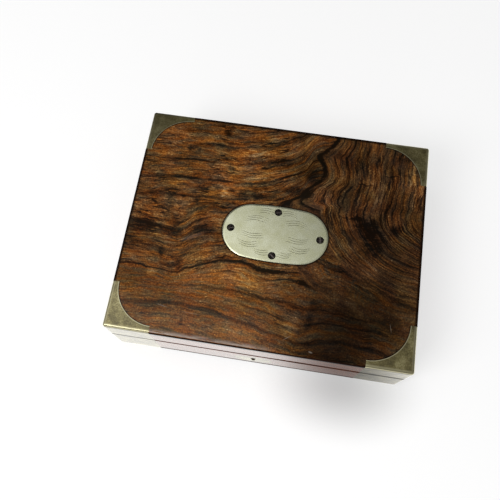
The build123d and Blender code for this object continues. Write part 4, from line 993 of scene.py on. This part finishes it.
padData, backCount = padMesh()
padPiece = bpy.data.objects.new("lid_pad_silk", padData)
scene.collection.objects.link(padPiece)
held = padPiece.vertex_groups.new(name="sewn")
held.add(list(range(backCount)), 1.0, "REPLACE")
started = [v.co.copy() for v in padData.vertices]
cloth = padPiece.modifiers.new("fill", "CLOTH")
for setting, value in pad["cloth"].items():
    setattr(cloth.settings, setting, value)
cloth.settings.effector_weights.gravity = 0
cloth.point_cache.frame_start, cloth.point_cache.frame_end = 1, pad["frames"]
for step in range(1, pad["frames"] + 1):
    scene.frame_set(step)
padPiece.update_tag()
solved = padPiece.evaluated_get(bpy.context.evaluated_depsgraph_get())
filled = [v.co.copy() for v in solved.data.vertices]
padPiece.modifiers.remove(cloth)
scene.frame_set(1)
for vertex, before, after in zip(padData.vertices, started, filled):
    move = after - before
    if move.length > pad["mostRise"] * mm:
        move *= pad["mostRise"] * mm / move.length
    vertex.co = before + move
subdivide = padPiece.modifiers.new("smooth", "SUBSURF")
subdivide.levels = subdivide.render_levels = 1
solved = padPiece.evaluated_get(bpy.context.evaluated_depsgraph_get())
finer = bpy.data.meshes.new_from_object(solved)
padPiece.modifiers.remove(subdivide)
padPiece.data = finer
for vertex in finer.vertices:
    x, y, z = (c / mm for c in vertex.co)
    if z > pad["backZ"] - pad["rimDepth"]:
        continue
    edgeX, edgeY = pad["halfLength"] - abs(x), pad["halfDepth"] - abs(y)
    edge = max(min(edgeX, edgeY), 0)
    along = x if edgeY < edgeX else y
    sway = noise.noise(Vector((x / pad["swaySize"], y / pad["swaySize"], 0.3))) * pad["sway"]
    depth = math.sin(2 * math.pi * (along + sway) / pad["gatherPitch"]) + pad["finerShare"] * math.sin(
        2 * math.pi * (along - 2 * sway) / (pad["gatherPitch"] * pad["finerPitch"]))
    fade = max(1 - edge / pad["gatherReach"], 0) ** pad["gatherFade"] * min(edge / pad["gatherStart"], 1)
    slackX, slackY = pad["slackSize"]
    slack = noise.noise(Vector((x / slackX, y / slackY, 1.7))) * pad["slack"]
    slack *= min(edge / pad["slackStart"], 1)
    z += pad["gatherDepth"] * depth * fade + slack
    vertex.co.z = max(z, pad["lowest"]) * mm
for polygon in finer.polygons:
    polygon.use_smooth = True
finer.materials.clear()
finer.materials.append(padSilk)
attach(padPiece, "lid")
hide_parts("lid_pad")
print("lid pad:", len(finer.polygons), "faces")

# lifting ribbons: a strip glued inside each end wall and folded in over the tray
ribbon = {
    "width": 10.0, "thickness": 0.45, "wallX": 98.1, "foldZ": 30.5, "drop": 8.0, "reach": 14.0,
    "foldRadius": 1.2, "steps": 34, "rows": 8, "lift": 0.5, "droop": 0.9, "curl": 0.12,
}


# down the wall, round the fold, then out over the tray with a slight lift and droop
def ribbonPath(distance):
    radius = ribbon["foldRadius"]
    straight = ribbon["drop"] - radius
    bend = math.pi / 2 * radius
    if distance < straight:
        return 0.0, ribbon["foldZ"] - ribbon["drop"] + distance
    if distance < straight + bend:
        angle = (distance - straight) / radius
        return radius * (1 - math.cos(angle)), ribbon["foldZ"] - radius * (1 - math.sin(angle))
    out = distance - straight - bend
    share = out / (ribbon["reach"] - radius)
    height = ribbon["foldZ"] + (ribbon["lift"] * math.sin(share * math.pi) - ribbon["droop"] * share ** 2)
    return radius + out, height


ribbonLength = ribbon["drop"] + ribbon["reach"] - 2 * ribbon["foldRadius"] + math.pi / 2 * ribbon["foldRadius"]
for across, end in ((-1, "left"), (1, "right")):
    verts, faces = [], []
    for i in range(ribbon["steps"] + 1):
        inward, height = ribbonPath(ribbonLength * i / ribbon["steps"])
        for j in range(ribbon["rows"] + 1):
            y = (j / ribbon["rows"] - 0.5) * ribbon["width"]
            curl = ribbon["curl"] * (2 * y / ribbon["width"]) ** 2 * min(i / ribbon["steps"] * 2, 1)
            verts.append((across * (ribbon["wallX"] - inward) * mm, y * mm, (height - curl) * mm))
    rows = ribbon["rows"] + 1
    for i in range(ribbon["steps"]):
        for j in range(ribbon["rows"]):
            a = i * rows + j
            faces.append([a, a + 1, a + rows + 1, a + rows][::across])
    data = bpy.data.meshes.new("trayRibbon" + end)
    data.from_pydata(verts, [], faces)
    data.materials.append(ribbonSilk)
    piece = bpy.data.objects.new("tray_ribbon_silk_" + end, data)
    scene.collection.objects.link(piece)
    solid = piece.modifiers.new("thickness", "SOLIDIFY")
    solid.thickness, solid.offset = ribbon["thickness"] * mm, 0
    for polygon in data.polygons:
        polygon.use_smooth = True
    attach(piece, "base")
    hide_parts("tray_ribbon_" + end)
print("ribbons:", round(ribbonLength, 1), "mm long")
